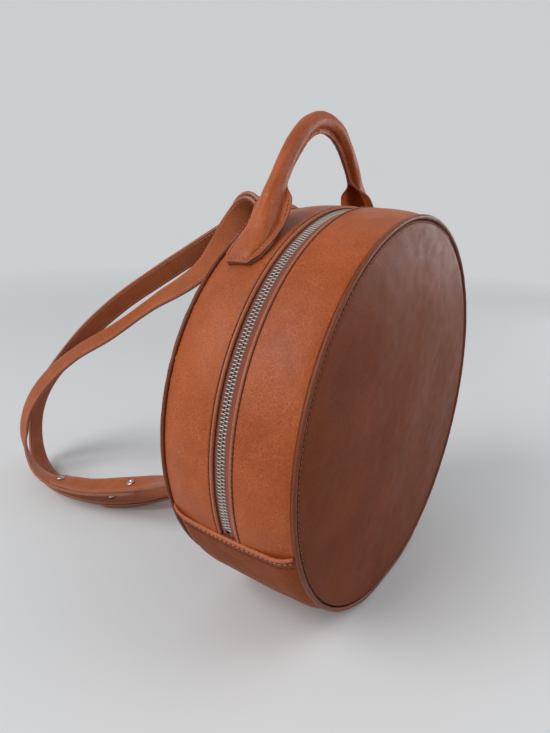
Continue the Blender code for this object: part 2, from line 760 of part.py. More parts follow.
def build_handle(group, leather, cord):
    rows = handle_frames()
    place("handle_leather", loft([handle_section(*row) for row in rows]), leather, group)
    middle = [spot + inward * ROLL_RADIUS for spot, inward, opening, outer in rows
              if opening > CORE_FROM]
    curve = bpy.data.curves.new("handle core", "CURVE")
    curve.dimensions = "3D"
    curve.bevel_depth = CORE_RADIUS
    curve.bevel_resolution = 1
    curve.use_fill_caps = True
    spline = curve.splines.new("POLY")
    spline.points.add(len(middle) - 1)
    for i, point in enumerate(middle):
        spline.points[i].co = (point.x, point.y, point.z + AXIS_HEIGHT, 1)
    core = curve_to_object("handle_core", curve, group)
    core.data.materials.append(cord)
    core.data.shade_smooth()


def tab_body(side):
    """A leather tab that follows the gusset, with both corners of its tip cut off."""
    rings = []
    for share in (0, TAB_CHAMFER / TAB_LENGTH) + TAB_ALONG_SHARES:
        half = TAB_WIDTH / 2 - TAB_CHAMFER * max(0.0, 1 - share * TAB_LENGTH / TAB_CHAMFER)
        angle = TAB_TIP_ANGLE + TAB_LENGTH * share / RADIUS
        ys = spread(HANDLE_Y - half, HANDLE_Y + half, TAB_ACROSS_SHARES)
        ring = [polar(side_outer(y) + GAP + TAB_THICK, y, angle) for y in ys]
        ring += [polar(side_outer(y) + GAP, y, angle) for y in reversed(ys)]
        rings.append([Vector((side * p.x, p.y, p.z)) for p in ring])
    return loft(rings)


def build_handle_tabs(group, leather):
    """The stitched tabs under the handle's ends."""
    for name, side in (("left", -1), ("right", 1)):
        place("handle_tab_" + name, tab_body(side), leather, group)


def strap_route(side):
    """Middle line of a strap and its width direction, from the top seam to the lower seam."""
    top = Vector((side * STRAP_X, HALF_DEPTH + GAP, RADIUS - STRAP_INSET))
    drop = AXIS_HEIGHT + top.z - STRAP_LIE
    line = catmull(STRAP_SHARES[side], STRAP_STEPS)
    spots = [top + Vector((x * RADIUS, y * STRAP_REACH, -z * drop)) for x, y, z, twist in line]
    rows = []
    for i, spot in enumerate(spots):
        before = spots[max(0, i - 1)]
        after = spots[min(len(spots) - 1, i + 1)]
        along = (after - before).normalized()
        if i in (0, len(spots) - 1):
            along = Vector((0, 1 if i == 0 else -1, 0))
        level = Vector((1, 0, 0)) - along * along.x
        level.normalize()
        rise = along.cross(level)
        twist = math.radians(line[i][3])
        across = level * math.cos(twist) + rise * math.sin(twist)
        rows.append((spot, across, across.cross(along)))
    return rows


class StrapRun:
    """The route of one strap with the marks, in length from its top, that its layers share."""

    def __init__(self, side):
        self.rows = strap_route(side)
        self.lengths = [0.0]
        for (a, _, _), (b, _, _) in zip(self.rows, self.rows[1:]):
            self.lengths.append(self.lengths[-1] + (b - a).length)
        total = self.lengths[-1]
        self.rear_stud = total * REAR_STUD_SHARE
        self.front_stud = self.rear_stud + STUD_SPACING
        self.upper_end = self.front_stud + STRAP_END_PAST_STUD
        self.lower_start = self.rear_stud - STRAP_END_PAST_STUD
        own = [0.0, STRAP_TAB_LENGTH, self.lower_start, self.upper_end, total]
        clear = STRAP_THICK
        free = [d for d in self.lengths if all(abs(d - mark) > clear for mark in own)]
        self.marks = sorted(own + free)

    def at(self, distance):
        """Spot, width direction and normal at a distance from the top end."""
        for i in range(len(self.rows) - 1):
            if self.lengths[i + 1] >= distance:
                step = self.lengths[i + 1] - self.lengths[i]
                t = (distance - self.lengths[i]) / step
                mixed = [a.lerp(b, t) for a, b in zip(self.rows[i], self.rows[i + 1])]
                return mixed[0], mixed[1].normalized(), mixed[2].normalized()
        return self.rows[-1]

    def body(self, start, end, shift):
        """A flat strip from one mark to another, shifted along its normal."""
        rings = []
        for mark in [m for m in self.marks if start <= m <= end]:
            spot, across, normal = self.at(mark)
            ring = [spot + across * (a * STRAP_WIDTH / 2) + normal * (shift + b * STRAP_THICK / 2)
                    for a, b in STRIP_CORNERS]
            rings.append(ring)
        return loft(rings, twisted=True)


def stud_frame(spot, across, normal):
    """Frame of a stud: its Z along the strap's normal."""
    frame = Matrix((across, normal.cross(across), normal)).transposed().to_4x4()
    frame.translation = spot + Vector((0, 0, AXIS_HEIGHT))
    return frame


def turned(name, profile, frame, material, group):
    """A turned piece from a profile of (radius, height) points, top to bottom."""
    bm = bmesh.new()
    verts = [bm.verts.new((radius, 0, height)) for radius, height in profile]
    edges = [bm.edges.new((a, b)) for a, b in zip(verts, verts[1:])]
    bmesh.ops.spin(bm, geom=verts + edges, cent=(0, 0, 0), axis=(0, 0, 1),
                   angle=math.tau, steps=STUD_SIDES, use_merge=True)
    bmesh.ops.remove_doubles(bm, verts=bm.verts, dist=GAP / 30)
    bmesh.ops.recalc_face_normals(bm, faces=bm.faces)
    mesh = bpy.data.meshes.new(name)
    bm.to_mesh(mesh)
    bm.free()
    mesh.shade_smooth()
    mesh.set_sharp_from_angle(angle=SHARP_ANGLE)
    made = bpy.data.objects.new(name, mesh)
    made.matrix_world = frame
    made.data.materials.append(material)
    group.objects.link(made)
    return made


def pierce(target, frame, cutters):
    """Cut a stud's hole through a strap."""
    bm = bmesh.new()
    bmesh.ops.create_cone(bm, cap_ends=True, segments=HOLE_SIDES, radius1=STUD_HOLE_RADIUS,
                          radius2=STUD_HOLE_RADIUS, depth=STRAP_THICK * 6, matrix=frame)
    mesh = bpy.data.meshes.new(target.name + " hole")
    bm.to_mesh(mesh)
    bm.free()
    cutter = bpy.data.objects.new(target.name + " hole", mesh)
    cutter.hide_render = True
    cutter.display_type = "WIRE"
    cutters.objects.link(cutter)
    combine(target, cutter, "DIFFERENCE")


def build_strap(side, word, group, cutters, leather, metal):
    """One strap: an upper length, a lower length beneath it, two studs through both, a top tab."""
    run = StrapRun(side)
    layer_step = STRAP_THICK + GAP
    upper = place("strap_upper_" + word, run.body(0, run.upper_end, 0), leather, group)
    lower = place("strap_lower_" + word, run.body(run.lower_start, run.marks[-1], layer_step),
                  leather, group)
    place("strap_top_tab_" + word, run.body(0, STRAP_TAB_LENGTH, layer_step), leather, group)
    inside = -(STRAP_THICK / 2 + STUD_SEAT)
    outside = STRAP_THICK / 2 + layer_step + STUD_SEAT
    head, thick = STUD_HEAD_RADIUS, STUD_HEAD_THICK
    post, bore = STUD_POST_RADIUS, STUD_POST_RADIUS / 2
    crown = head * STUD_CROWN_SHARE
    edge = thick * STUD_EDGE_SHARE
    screw = [(0, inside), (post, inside), (post, outside), (head, outside),
             (head, outside + edge), (crown, outside + thick), (0, outside + thick)]
    under = inside - GAP
    cap = [(0, under), (head, under), (head, under - edge), (crown, under - thick),
           (bore, under - thick), (bore, under - edge), (0, under - edge)]
    for number, mark in (("rear", run.rear_stud), ("front", run.front_stud)):
        frame = stud_frame(*run.at(mark))
        for target in (upper, lower):
            pierce(target, frame, cutters)
        turned("stud_post_%s_%s" % (number, word), screw, frame, metal, group)
        turned("stud_cap_%s_%s" % (number, word), cap, frame, metal, group)


def carry(name, spot, words, group):
    """An empty on a joint's axis that carries the pieces which move about it."""
    pivot = bpy.data.objects.new(name, None)
    pivot.location = spot
    pivot.empty_display_size = HALF_DEPTH
    group.objects.link(pivot)
    for word in words:
        piece = bpy.data.objects[word]
        piece.parent = pivot
        piece.matrix_parent_inverse = Matrix.Translation(spot).inverted()


def build_pivots(group):
    """The front opens about its fold line, the slider runs round the drum and carries its pull,
    and each strap swings about its sewn ends."""
    carry("front_opening", Vector((0, FOLD_Y, AXIS_HEIGHT - FOLD_DROP)), FRONT_PIECES, group)
    carry("zip_travel", Vector((0, 0, AXIS_HEIGHT)), ("zip_slider", "zip_pull"), group)
    for side, word in ((-1, "left"), (1, "right")):
        seam = Vector((side * STRAP_X, HALF_DEPTH + GAP, AXIS_HEIGHT + RADIUS - STRAP_INSET))
        carry("strap_swing_" + word, seam, [name + word for name in STRAP_PIECES], group)


def main():
    for old in list(bpy.data.objects):
        bpy.data.objects.remove(old)
    group = new_collection("round_backpack")
    cutters = new_collection("cutters")
    leather = make_material("leather", LEATHER_COLOUR, 0.45)
    board = make_material("board", BOARD_COLOUR, 0.8)
    lining = make_material("lining", LINING_COLOUR, 0.85)
    tape = make_material("zip tape", TAPE_COLOUR, 0.8)
    metal = make_material("nickel", NICKEL_COLOUR, 0.3, 1.0)
    cord = make_material("cord", CORD_COLOUR, 0.8)
    build_gussets(group, leather)
    build_base_edges(group, leather)
    build_faces(group, leather, board, lining)
    build_piping(group, leather)
    build_base_board(group, board)
    build_teeth(group, metal)
    build_tapes(group, tape)
    build_stops(group, metal)
    build_slider(group, cutters, metal)
    build_pull(group, metal)
    build_handle(group, leather, cord)
    build_handle_tabs(group, leather)
    for side, word in ((-1, "left"), (1, "right")):
        build_strap(side, word, group, cutters, leather, metal)
    build_pivots(group)


main()
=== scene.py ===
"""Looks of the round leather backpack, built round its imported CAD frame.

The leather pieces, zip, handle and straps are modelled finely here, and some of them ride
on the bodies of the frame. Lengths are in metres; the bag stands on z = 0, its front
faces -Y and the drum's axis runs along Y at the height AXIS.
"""

import math

import bmesh
import bpy
import numpy as np
from mathutils import Matrix, Vector


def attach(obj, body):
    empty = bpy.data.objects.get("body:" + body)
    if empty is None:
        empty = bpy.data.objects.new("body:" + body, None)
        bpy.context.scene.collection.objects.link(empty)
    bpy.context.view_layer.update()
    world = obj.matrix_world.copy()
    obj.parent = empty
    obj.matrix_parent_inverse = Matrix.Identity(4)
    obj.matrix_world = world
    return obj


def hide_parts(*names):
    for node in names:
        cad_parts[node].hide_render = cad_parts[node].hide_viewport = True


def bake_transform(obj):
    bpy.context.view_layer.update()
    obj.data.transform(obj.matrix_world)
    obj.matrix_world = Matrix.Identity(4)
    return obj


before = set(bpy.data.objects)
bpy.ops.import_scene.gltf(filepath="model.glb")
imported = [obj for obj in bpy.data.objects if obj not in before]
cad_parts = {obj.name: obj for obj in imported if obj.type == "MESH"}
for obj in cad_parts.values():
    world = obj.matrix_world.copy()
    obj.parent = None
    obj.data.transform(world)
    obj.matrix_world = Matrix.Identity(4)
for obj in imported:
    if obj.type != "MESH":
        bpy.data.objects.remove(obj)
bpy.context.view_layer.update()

# The bag's sizes
R, HALF = 0.150, 0.0525  # the drum's radius and half its depth
CROWN, DROP = 0.003, 0.0045  # the band's rise at the zip and its fall to the seam
LEATHER, BOARD, LINING = 0.0018, 0.0013, 0.0008  # thicknesses
GAP = 0.0003
SEAM = 0.04985
ZIP_HALF = 0.0072
FLAT_HALF, CORNER = 0.0266, 0.0011  # half the flat underside and the softness of its corner
PRESS = math.sqrt(1 - (FLAT_HALF / (R + CROWN)) ** 2)
AXIS = (R + CROWN) * PRESS
FOLD_DROP = 0.0513  # from the drum's axis down to the fold line
FOLD = math.asin(FOLD_DROP / R)
PIPE = 0.00175
PIPE_R = R - 0.0015
PIPE_Y = HALF - 0.0006
RIM = PIPE_R - PIPE - GAP
CHAIN_OUT = CROWN - LEATHER - GAP - GAP
STITCH, GATHER = 0.0037, 0.0041  # length of a stitch and of a pucker


# Helpers

def spun(reach, y, angle):
    """Points round the drum's axis, as an array whose last axis is x, y, z."""
    reach, y, angle = np.broadcast_arrays(reach, y, angle)
    return np.stack([reach * np.cos(angle), y + 0 * reach, reach * np.sin(angle)], axis=-1)


def polar(offset, y, angle):
    """Points at an offset from the drum's radius."""
    return spun(R + offset, y, angle)


def press(points):
    """Press the underside flat, with a soft corner."""
    out = np.array(points, float)
    level = -np.hypot(out[..., 0], out[..., 2]) * PRESS
    over = np.clip((out[..., 2] - level) / CORNER, -40, 40)
    out[..., 2] = np.where(over > 30, out[..., 2], level + CORNER * np.log1p(np.exp(over)))
    return out


def ripple(points, size, seed):
    """Smooth unevenness of about -1 to 1 with features of a given size."""
    rng = np.random.default_rng(seed)
    total = np.zeros(points.shape[:-1])
    count = 8
    for _ in range(count):
        way = rng.normal(size=3)
        way /= np.linalg.norm(way)
        turns = math.tau / size * rng.uniform(0.6, 1.5)
        total += np.sin(points @ way * turns + rng.uniform(0, math.tau))
    return total / math.sqrt(count)


def uneven(points, seed, wide, high, narrow, low):
    """Unevenness of wide features and narrow ones, each with its height."""
    return ripple(points, wide, seed) * high + ripple(points, narrow, seed + 1) * low


def circle(count):
    """Cosine and sine of each step round a circle."""
    return [(math.cos(math.tau * k / count), math.sin(math.tau * k / count))
            for k in range(count)]


def wave(length, pitch, shift=0):
    """A wave between 0 and 1 along a length."""
    return 0.5 + 0.5 * np.cos(math.tau * length / pitch + shift)


def unit(v):
    return v / np.maximum(np.linalg.norm(v, axis=-1, keepdims=True), 1e-12)


def place_object(name, data):
    made = bpy.data.objects.new(name, data)
    bpy.context.scene.collection.objects.link(made)
    return made


def make_object(name, verts, faces, materials, indices=None, uv=None):
    """A smooth mesh; indices holds a material per face, uv a place per vertex."""
    mesh = bpy.data.meshes.new(name)
    mesh.from_pydata(np.asarray(verts, float).reshape(-1, 3).tolist(), [], faces)
    mesh.update()
    if uv is not None:
        layer = mesh.uv_layers.new(name="UVMap")
        loops = np.zeros(len(mesh.loops), np.int32)
        mesh.loops.foreach_get("vertex_index", loops)
        layer.data.foreach_set("uv", np.asarray(uv, np.float32).reshape(-1, 2)[loops].ravel())
    for material in materials:
        mesh.materials.append(material)
    if indices is not None:
        mesh.polygons.foreach_set("material_index", np.asarray(indices, np.int32))
    bm = bmesh.new()
    bm.from_mesh(mesh)
    bmesh.ops.recalc_face_normals(bm, faces=bm.faces)
    bm.to_mesh(mesh)
    bm.free()
    mesh.shade_smooth()
    return place_object(name, mesh)


def grid(name, points, materials, wrap_u=False, wrap_v=True, kinds=None, uv=None):
    """A surface from rows of points: wrap_u joins the last row to the first, wrap_v closes
    each row, and open ends of closed rows get caps. kinds holds a material per column."""
    nu, nv = points.shape[:2]
    kinds = kinds or [0] * nv
    faces, indices = [], []
    for i in range(nu if wrap_u else nu - 1):
        a, b = i * nv, ((i + 1) % nu) * nv
        for j in range(nv if wrap_v else nv - 1):
            k = (j + 1) % nv
            faces.append((a + j, a + k, b + k, b + j))
            indices.append(kinds[j])
    if wrap_v and not wrap_u:
        faces += [tuple(range(nv)), tuple(range((nu - 1) * nv, nu * nv))]
        indices += [max(kinds)] * 2
    return make_object(name, points, faces, materials, indices, uv)


def rod_faces(rods, rings, sides):
    """Faces of closed rods, each made of rings of points."""
    faces = []
    for base in range(0, rods * rings * sides, rings * sides):
        last = base + (rings - 1) * sides
        for first in range(base, last, sides):
            for k in range(sides):
                m = (k + 1) % sides
                faces.append((first + k, first + m, first + sides + m, first + sides + k))
        faces += [tuple(range(base, base + sides)), tuple(range(last, last + sides))]
    return faces


def ways(path):
    """Directions along a path at each of its points."""
    return unit(np.vstack([path[1:], path[-1:]]) - np.vstack([path[:1], path[:-1]]))


def along(path):
    """Length along a path at each of its points."""
    steps = np.linalg.norm(np.diff(path, axis=0), axis=1)
    return np.concatenate([[0], np.cumsum(steps)])


def sample(path, lengths, at):
    return np.stack([np.interp(at, lengths, path[:, i]) for i in range(path.shape[1])], axis=-1)


def frames(path, normals, lengths, at):
    """Places at lengths along a path, with the ways ahead, across and out."""
    near = 0.0004
    way = unit(sample(path, lengths, at + near) - sample(path, lengths, at - near))
    side = unit(np.cross(way, unit(sample(normals, lengths, at))))
    return sample(path, lengths, at), way, side, np.cross(side, way)


# Rings of a stitch: place along it, share of its radius, rise out of the leather
THREAD_RINGS = ((-1.0, 0.45, -1.0), (-0.72, 0.95, 0.1), (0.0, 1.0, 0.55), (0.72, 0.95, 0.1),
                (1.0, 0.45, -1.0))
THREAD_SHARE, THREAD_RISE, THREAD_SIDES = 0.70, 0.00022, 6
# Shape of the painted shade at each needle hole: rise of its middle, drop of its rim, its length
# over its width.
HOLE_MIDDLE, HOLE_RIM, HOLE_LONG = 0.00020, -0.00008, 1.25


def stitch_row(name, path, normals, material, pitch=STITCH, radius=0.00036, hole=0.00042):
    """Sewing stitches along a path: short threads that dip into a needle hole at both ends."""
    lengths = along(path)
    count = max(1, int(round(lengths[-1] / pitch)))
    step = lengths[-1] / count
    verts = []
    for place, width, rise in THREAD_RINGS:
        at = (np.arange(count) + 0.5) * step + place * step * THREAD_SHARE / 2
        spot, way, side, up = frames(path, normals, lengths, at)
        middle = spot + up * (THREAD_RISE * rise)
        verts.append(np.stack([middle + (side * c + up * s) * radius * width
                               for c, s in circle(THREAD_SIDES)], axis=1))
    verts = np.stack(verts, axis=1).reshape(-1, 3)
    faces = rod_faces(count, len(THREAD_RINGS), THREAD_SIDES)
    indices = [0] * len(faces)
    # A dark cone over each needle hole: painted shade inside the hole.
    spot, way, side, up = frames(path, normals, lengths, np.arange(count + 1) * step)
    dots = [spot + up * HOLE_MIDDLE]
    for c, s in circle(THREAD_SIDES):
        dots.append(spot + way * c * hole * HOLE_LONG + side * s * hole + up * HOLE_RIM)
    dots = np.stack(dots, axis=1).reshape(-1, 3)
    for n in range(count + 1):
        base = len(verts) + n * (THREAD_SIDES + 1)
        for k in range(THREAD_SIDES):
            faces.append((base, base + 1 + k, base + 1 + (k + 1) % THREAD_SIDES))
            indices.append(1)
    return make_object(name, np.vstack([verts, dots]), faces, [material, HOLE_SHADE], indices)


def lift(points):
    """From the drum's centre to the row frame."""
    return points + np.array([0, 0, AXIS])


def catmull(points, steps):
    """A smooth line through points."""
    points = list(np.array(points, float))
    ends = [2 * points[0] - points[1]] + points + [2 * points[-1] - points[-2]]
    spans = len(points) - 1
    made = []
    for step in range(steps + 1):
        at = min(step * spans / steps, spans - 1e-9)
        i = int(at)
        t = at - i
        p0, p1, p2, p3 = ends[i:i + 4]
        made.append(0.5 * (2 * p1 + (p2 - p0) * t + (2 * p0 - 5 * p1 + 4 * p2 - p3) * t * t
                           + (3 * p1 - p0 - 3 * p2 + p3) * t ** 3))
    return np.array(made)


# Materials

class Nodes:
    """The node tree of a material or of the world, with short calls for its nodes."""

    def __init__(self, name, shader="Principled BSDF", kind=bpy.data.materials):
        self.owner = kind.new(name)
        self.owner.use_nodes = True
        self.tree = self.owner.node_tree
        self.shader = self.tree.nodes[shader]

    def add(self, kind, links=(), **values):
        node = self.tree.nodes.new(kind)
        for key, value in values.items():
            if key.startswith("in_"):
                node.inputs[key[3:].replace("_", " ")].default_value = value
            else:
                setattr(node, key, value)
        for socket, source in links:
            self.tree.links.new(source, node.inputs[socket])
        return node

    def link(self, source, socket):
        self.tree.links.new(source, self.shader.inputs[socket])

    def set(self, **values):
        for key, value in values.items():
            self.shader.inputs[key.replace("_", " ")].default_value = value

    def where(self, name="Object"):
        return self.add("ShaderNodeTexCoord").outputs[name]

    def noise(self, vector, scale, detail=3.0, rough=0.5):
        return self.add("ShaderNodeTexNoise", [("Vector", vector)], in_Scale=scale,
                        in_Detail=detail, in_Roughness=rough).outputs["Fac"]

    def ramp(self, value, stops):
        node = self.add("ShaderNodeValToRGB", [("Fac", value)])
        ramp = node.color_ramp
        while len(ramp.elements) < len(stops):
            ramp.elements.new(0.5)
        for element, (place, colour) in zip(ramp.elements, stops):
            element.position = place
            element.color = colour
        return node.outputs["Color"]

    def maths(self, operation, *values):
        node = self.add("ShaderNodeMath", operation=operation)
        for i, value in enumerate(values):
            if isinstance(value, (int, float)):
                node.inputs[i].default_value = value
            else:
                self.tree.links.new(value, node.inputs[i])
        return node.outputs[0]

    def cells(self, vector, scale):
        """Distance to the nearest edge in a net of cells."""
        return self.add("ShaderNodeTexVoronoi", [("Vector", vector)], feature="DISTANCE_TO_EDGE",
                        in_Scale=scale, in_Randomness=1.0).outputs["Distance"]

    def span(self, value, from_low, from_high, to_low, to_high):
        return self.add("ShaderNodeMapRange", [("Value", value)], in_From_Min=from_low,
                        in_From_Max=from_high, in_To_Min=to_low, in_To_Max=to_high).outputs[0]

    def bump(self, height, distance, strength, before=None):
        links = [("Height", height)]
        if before is not None:
            links.append(("Normal", before))
        return self.add("ShaderNodeBump", links, in_Distance=distance,
                        in_Strength=strength).outputs["Normal"]


def opaque(colour, share=1.0):
    return tuple(c * share for c in colour) + (1.0,)


def grey(value):
    return opaque((value,) * 3)


# Scales in the looks are features per metre, and depths of bumps are metres

def leather_look(name, light, dark, rough=0.42, grain=1.0, crackle=0.35, shine=0.22):
    """Smooth leather: mottling, a net of fine pale creases, slightly uneven gloss."""
    n = Nodes(name)
    spot = n.where()
    broad = n.noise(spot, 22.0, 4.0, 0.6)
    fine = n.noise(spot, 760.0, 3.0, 0.6)
    speck = n.noise(spot, 1700.0, 2.0, 0.6)
    mixed = n.maths("ADD", n.maths("MULTIPLY", broad, 0.30), n.maths("MULTIPLY", fine, 0.30))
    mixed = n.maths("ADD", mixed, n.maths("MULTIPLY", speck, 0.40))
    body = n.ramp(mixed, [(0.40, opaque(dark)), (0.60, opaque(light))])
    warp = n.add("ShaderNodeTexNoise", [("Vector", spot)], in_Scale=190.0).outputs["Color"]
    shift = n.add("ShaderNodeVectorMath", [(0, warp)], operation="SCALE", in_Scale=0.0035)
    bent = n.add("ShaderNodeVectorMath", [(0, spot), (1, shift.outputs[0])], operation="ADD")
    lines = n.ramp(n.cells(bent.outputs[0], 420.0), [(0.0, grey(1.0)), (0.09, grey(0.0))])
    patchy = n.ramp(n.noise(spot, 60.0, 3.0), [(0.42, grey(0.15)), (0.62, grey(1.0))])
    share = n.maths("MULTIPLY", n.maths("MULTIPLY", lines, patchy), crackle)
    mix = n.add("ShaderNodeMix", [(0, share), (6, body)], data_type="RGBA")
    mix.inputs[7].default_value = opaque(min(1.0, c * 1.35 + 0.02) for c in light)
    n.link(mix.outputs[2], "Base Color")
    gloss = n.noise(spot, 90.0, 3.0)
    n.link(n.span(gloss, 0.3, 0.7, rough - 0.06, rough + 0.07), "Roughness")
    normal = None
    for height, depth, strength in (
            (n.noise(spot, 420.0, 4.0, 0.65), 0.00022 * grain, 0.6),
            (n.cells(spot, 1150.0), 0.00014 * grain, 0.55),
            (lines, 0.00010 * grain, 0.35), (broad, 0.0012, 0.25)):
        normal = n.bump(height, depth, strength, normal)
    n.link(normal, "Normal")
    n.set(IOR=1.46, Specular_IOR_Level=shine)
    return n.owner


def plain_look(name, colour, rough, scale=400.0):
    n = Nodes(name)
    value = n.noise(n.where(), scale, 3.0)
    n.link(n.ramp(value, [(0.3, opaque(colour, 0.75)), (0.7, opaque(colour))]), "Base Color")
    n.link(n.bump(value, 0.00005, 0.6), "Normal")
    n.set(Roughness=rough)
    return n.owner


def weave_look(name, colour, pitch, band):
    """Woven cloth or tape in a herringbone, from the length and width in the UV map."""
    n = Nodes(name)
    parts = n.add("ShaderNodeSeparateXYZ", [("Vector", n.where("UV"))])
    turns = math.tau / pitch
    inside = n.maths("PINGPONG", parts.outputs["Y"], band)
    rows = n.maths("SINE", n.maths("MULTIPLY", n.maths("ADD", parts.outputs["X"], inside), turns))
    height = n.maths("ADD", n.maths("MULTIPLY", rows, 0.5), 0.5)
    n.link(n.ramp(height, [(0.1, opaque(colour, 0.5)), (0.8, opaque(colour))]), "Base Color")
    n.link(n.bump(height, pitch * 0.18, 0.8), "Normal")
    n.set(Roughness=0.85, Sheen_Weight=0.2)
    return n.owner


def metal_look(name, colour, rough):
    n = Nodes(name)
    wear = n.noise(n.where(), 700.0, 4.0)
    n.link(n.ramp(wear, [(0.35, opaque(colour, 0.8)), (0.6, opaque(colour))]), "Base Color")
    n.link(n.span(wear, 0.3, 0.7, rough - 0.05, rough + 0.08), "Roughness")
    n.link(n.bump(wear, 0.00002, 0.3), "Normal")
    n.set(Metallic=1.0)
    return n.owner


TAN = leather_look("tan_leather", (0.40, 0.092, 0.023), (0.245, 0.050, 0.012), crackle=0.5)
# The base band's leather is a darker copy of the tan leather: painted shade of the underside.
BASE_SHADED = leather_look("base_leather_painted_shade", (0.26, 0.056, 0.012), (0.155, 0.031, 0.006), 0.50,
                    crackle=0.3, shine=0.08)
# The discs' leather is darker than the tan leather: partly its own darker tone, partly painted
# shade of the faces turned away from the light.
DISC_TONE_AND_SHADE = leather_look("disc_leather_tone_and_painted_shade", (0.190, 0.042, 0.010), (0.120, 0.024, 0.005), 0.40,
                    grain=0.8, crackle=0.15, shine=0.07)
BEAD = leather_look("bead_leather", (0.200, 0.050, 0.021), (0.120, 0.030, 0.012), 0.38,
                    crackle=0.15)
HANDLE = leather_look("handle_leather_look", (0.40, 0.094, 0.026), (0.240, 0.050, 0.012),
                      grain=0.9, crackle=0.5, shine=0.25)
STRAP = leather_look("strap_leather", (0.41, 0.105, 0.030), (0.255, 0.060, 0.016))
# The straps' inner faces are a darker copy of the strap leather: painted shade on the inner faces.
INNER_SHADED = leather_look("strap_inner_leather_painted_shade", (0.36, 0.090, 0.026), (0.225, 0.052, 0.014), 0.44)
LIP = leather_look("lip_leather", (0.47, 0.142, 0.058), (0.30, 0.080, 0.030), 0.46, crackle=0.2)
EDGE = plain_look("painted_edge", (0.210, 0.058, 0.030), 0.42)
STRAP_EDGE = plain_look("strap_edge", (0.30, 0.090, 0.042), 0.42)
FIBRE = 3000.0
THREAD = plain_look("brown_thread", (0.062, 0.016, 0.007), 0.6, FIBRE)
PALE_THREAD = plain_look("tan_thread", (0.52, 0.215, 0.130), 0.6, FIBRE)
RED_THREAD = plain_look("russet_thread", (0.40, 0.150, 0.095), 0.6, FIBRE)
DISC_THREAD = plain_look("disc_thread", (0.24, 0.080, 0.045), 0.6, FIBRE)
# Near black at each needle hole: painted shade inside the holes.
HOLE_SHADE = plain_look("needle_hole_painted_shade", (0.020, 0.006, 0.003), 0.9, FIBRE)
TAPE = weave_look("zip_tape_cloth", (0.26, 0.060, 0.034), 0.0008, 0.0014)
CLOTH = weave_look("lining_cloth", (0.37, 0.28, 0.19), 0.0016, 0.003)
NICKEL = metal_look("nickel", (0.46, 0.44, 0.40), 0.34)
TEETH = metal_look("nickel_teeth", (0.330, 0.300, 0.265), 0.48)
BOARD_LOOK = plain_look("fibre_board", (0.35, 0.30, 0.24), 0.85)
CORD = plain_look("cord", (0.70, 0.66, 0.58), 0.85)


def to_bag(obj):
    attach(obj, "bag")


def to_half(obj, side):
    """Give a piece to the back half, side 1; for the front half, side -1, only bake its transform
    into its mesh.
    """
    if side > 0:
        to_bag(obj)
        return
    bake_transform(obj)


# Gussets

BASE_FLAT = 0.036


def shoulder(y, flat, power):
    """A band's rise over the drum: level by the zip, falling to the seam."""
    share = np.clip((np.abs(y) - flat) / (SEAM - flat), 0, None)
    return CROWN - DROP * share ** power


def side_outer(y):
    return shoulder(y, ZIP_HALF, 3.2)


def base_outer(y):
    return shoulder(y, BASE_FLAT, 2.0)


def dip(distance, width):
    return np.exp(-(distance / width) ** 2)


# Each side band's edge and row of stitches, from the middle of the zip
LIP_EDGE = {1: 0.0050, -1: 0.0076}
LIP_ROW = {1: 0.0077, -1: 0.0104}
LIP_STEPS, LIP_RISE = 9, 0.00042
GROOVE, GROOVE_WAVE, GROOVE_WIDTH = 0.00042, 0.00016, 0.0007
ROW_CLEAR, ROW_SINK = 0.012, 0.00018  # angle between a row and the fold, depth of a row
SEAM_DIP, SEAM_WIDTH = 0.0002, 0.0022


def side_section(lip):
    """Places across a side band: its rounded edge at the zip, its face, its inside."""
    edge = LEATHER / 2
    turn = np.linspace(-math.pi / 2, math.pi / 2, LIP_STEPS)
    near = lip + edge + np.linspace(0, 0.006, 22)[1:]
    far = near[-1] + (SEAM - near[-1]) * np.linspace(0, 1, 36)[1:] ** 0.9
    face = np.concatenate([near, far])
    back = face[::-5]
    ys = np.concatenate([lip + edge - edge * np.cos(turn), face, back])
    offs = np.concatenate([CROWN - edge + edge * np.sin(turn), side_outer(face),
                           side_outer(back) - LEATHER])
    return ys, offs, LIP_STEPS + len(face)


def band_points(ys, offs, outer_count, angles, seed, lip, row):
    """Rows of a band with its raised lip, its groove, puckers at the seam, slight unevenness."""
    y, angle = np.meshgrid(ys, angles)
    points = polar(offs, y, angle)
    soft = uneven(points, seed, 0.060, 0.00022, 0.017, 0.00006)
    across = np.abs(y)
    inside = np.clip((across - row) / 0.006, 0, 1) * np.clip((SEAM - across) / 0.004, 0, 1)
    outer = np.arange(len(ys)) < outer_count
    lip_share = np.clip((across - lip) / (row - lip), 0, 1)
    raised = LIP_RISE * np.sin(math.pi * lip_share) ** 0.8
    groove = -(GROOVE + GROOVE_WAVE * wave(angle * R, STITCH)) * dip(across - row, GROOVE_WIDTH)
    gather = wave(angle * R, GATHER, ripple(points, 0.02, seed + 2))
    puckers = SEAM_DIP * gather * dip(across - SEAM, SEAM_WIDTH)
    return polar(offs + soft * inside + (raised + groove - puckers) * outer, y, angle)


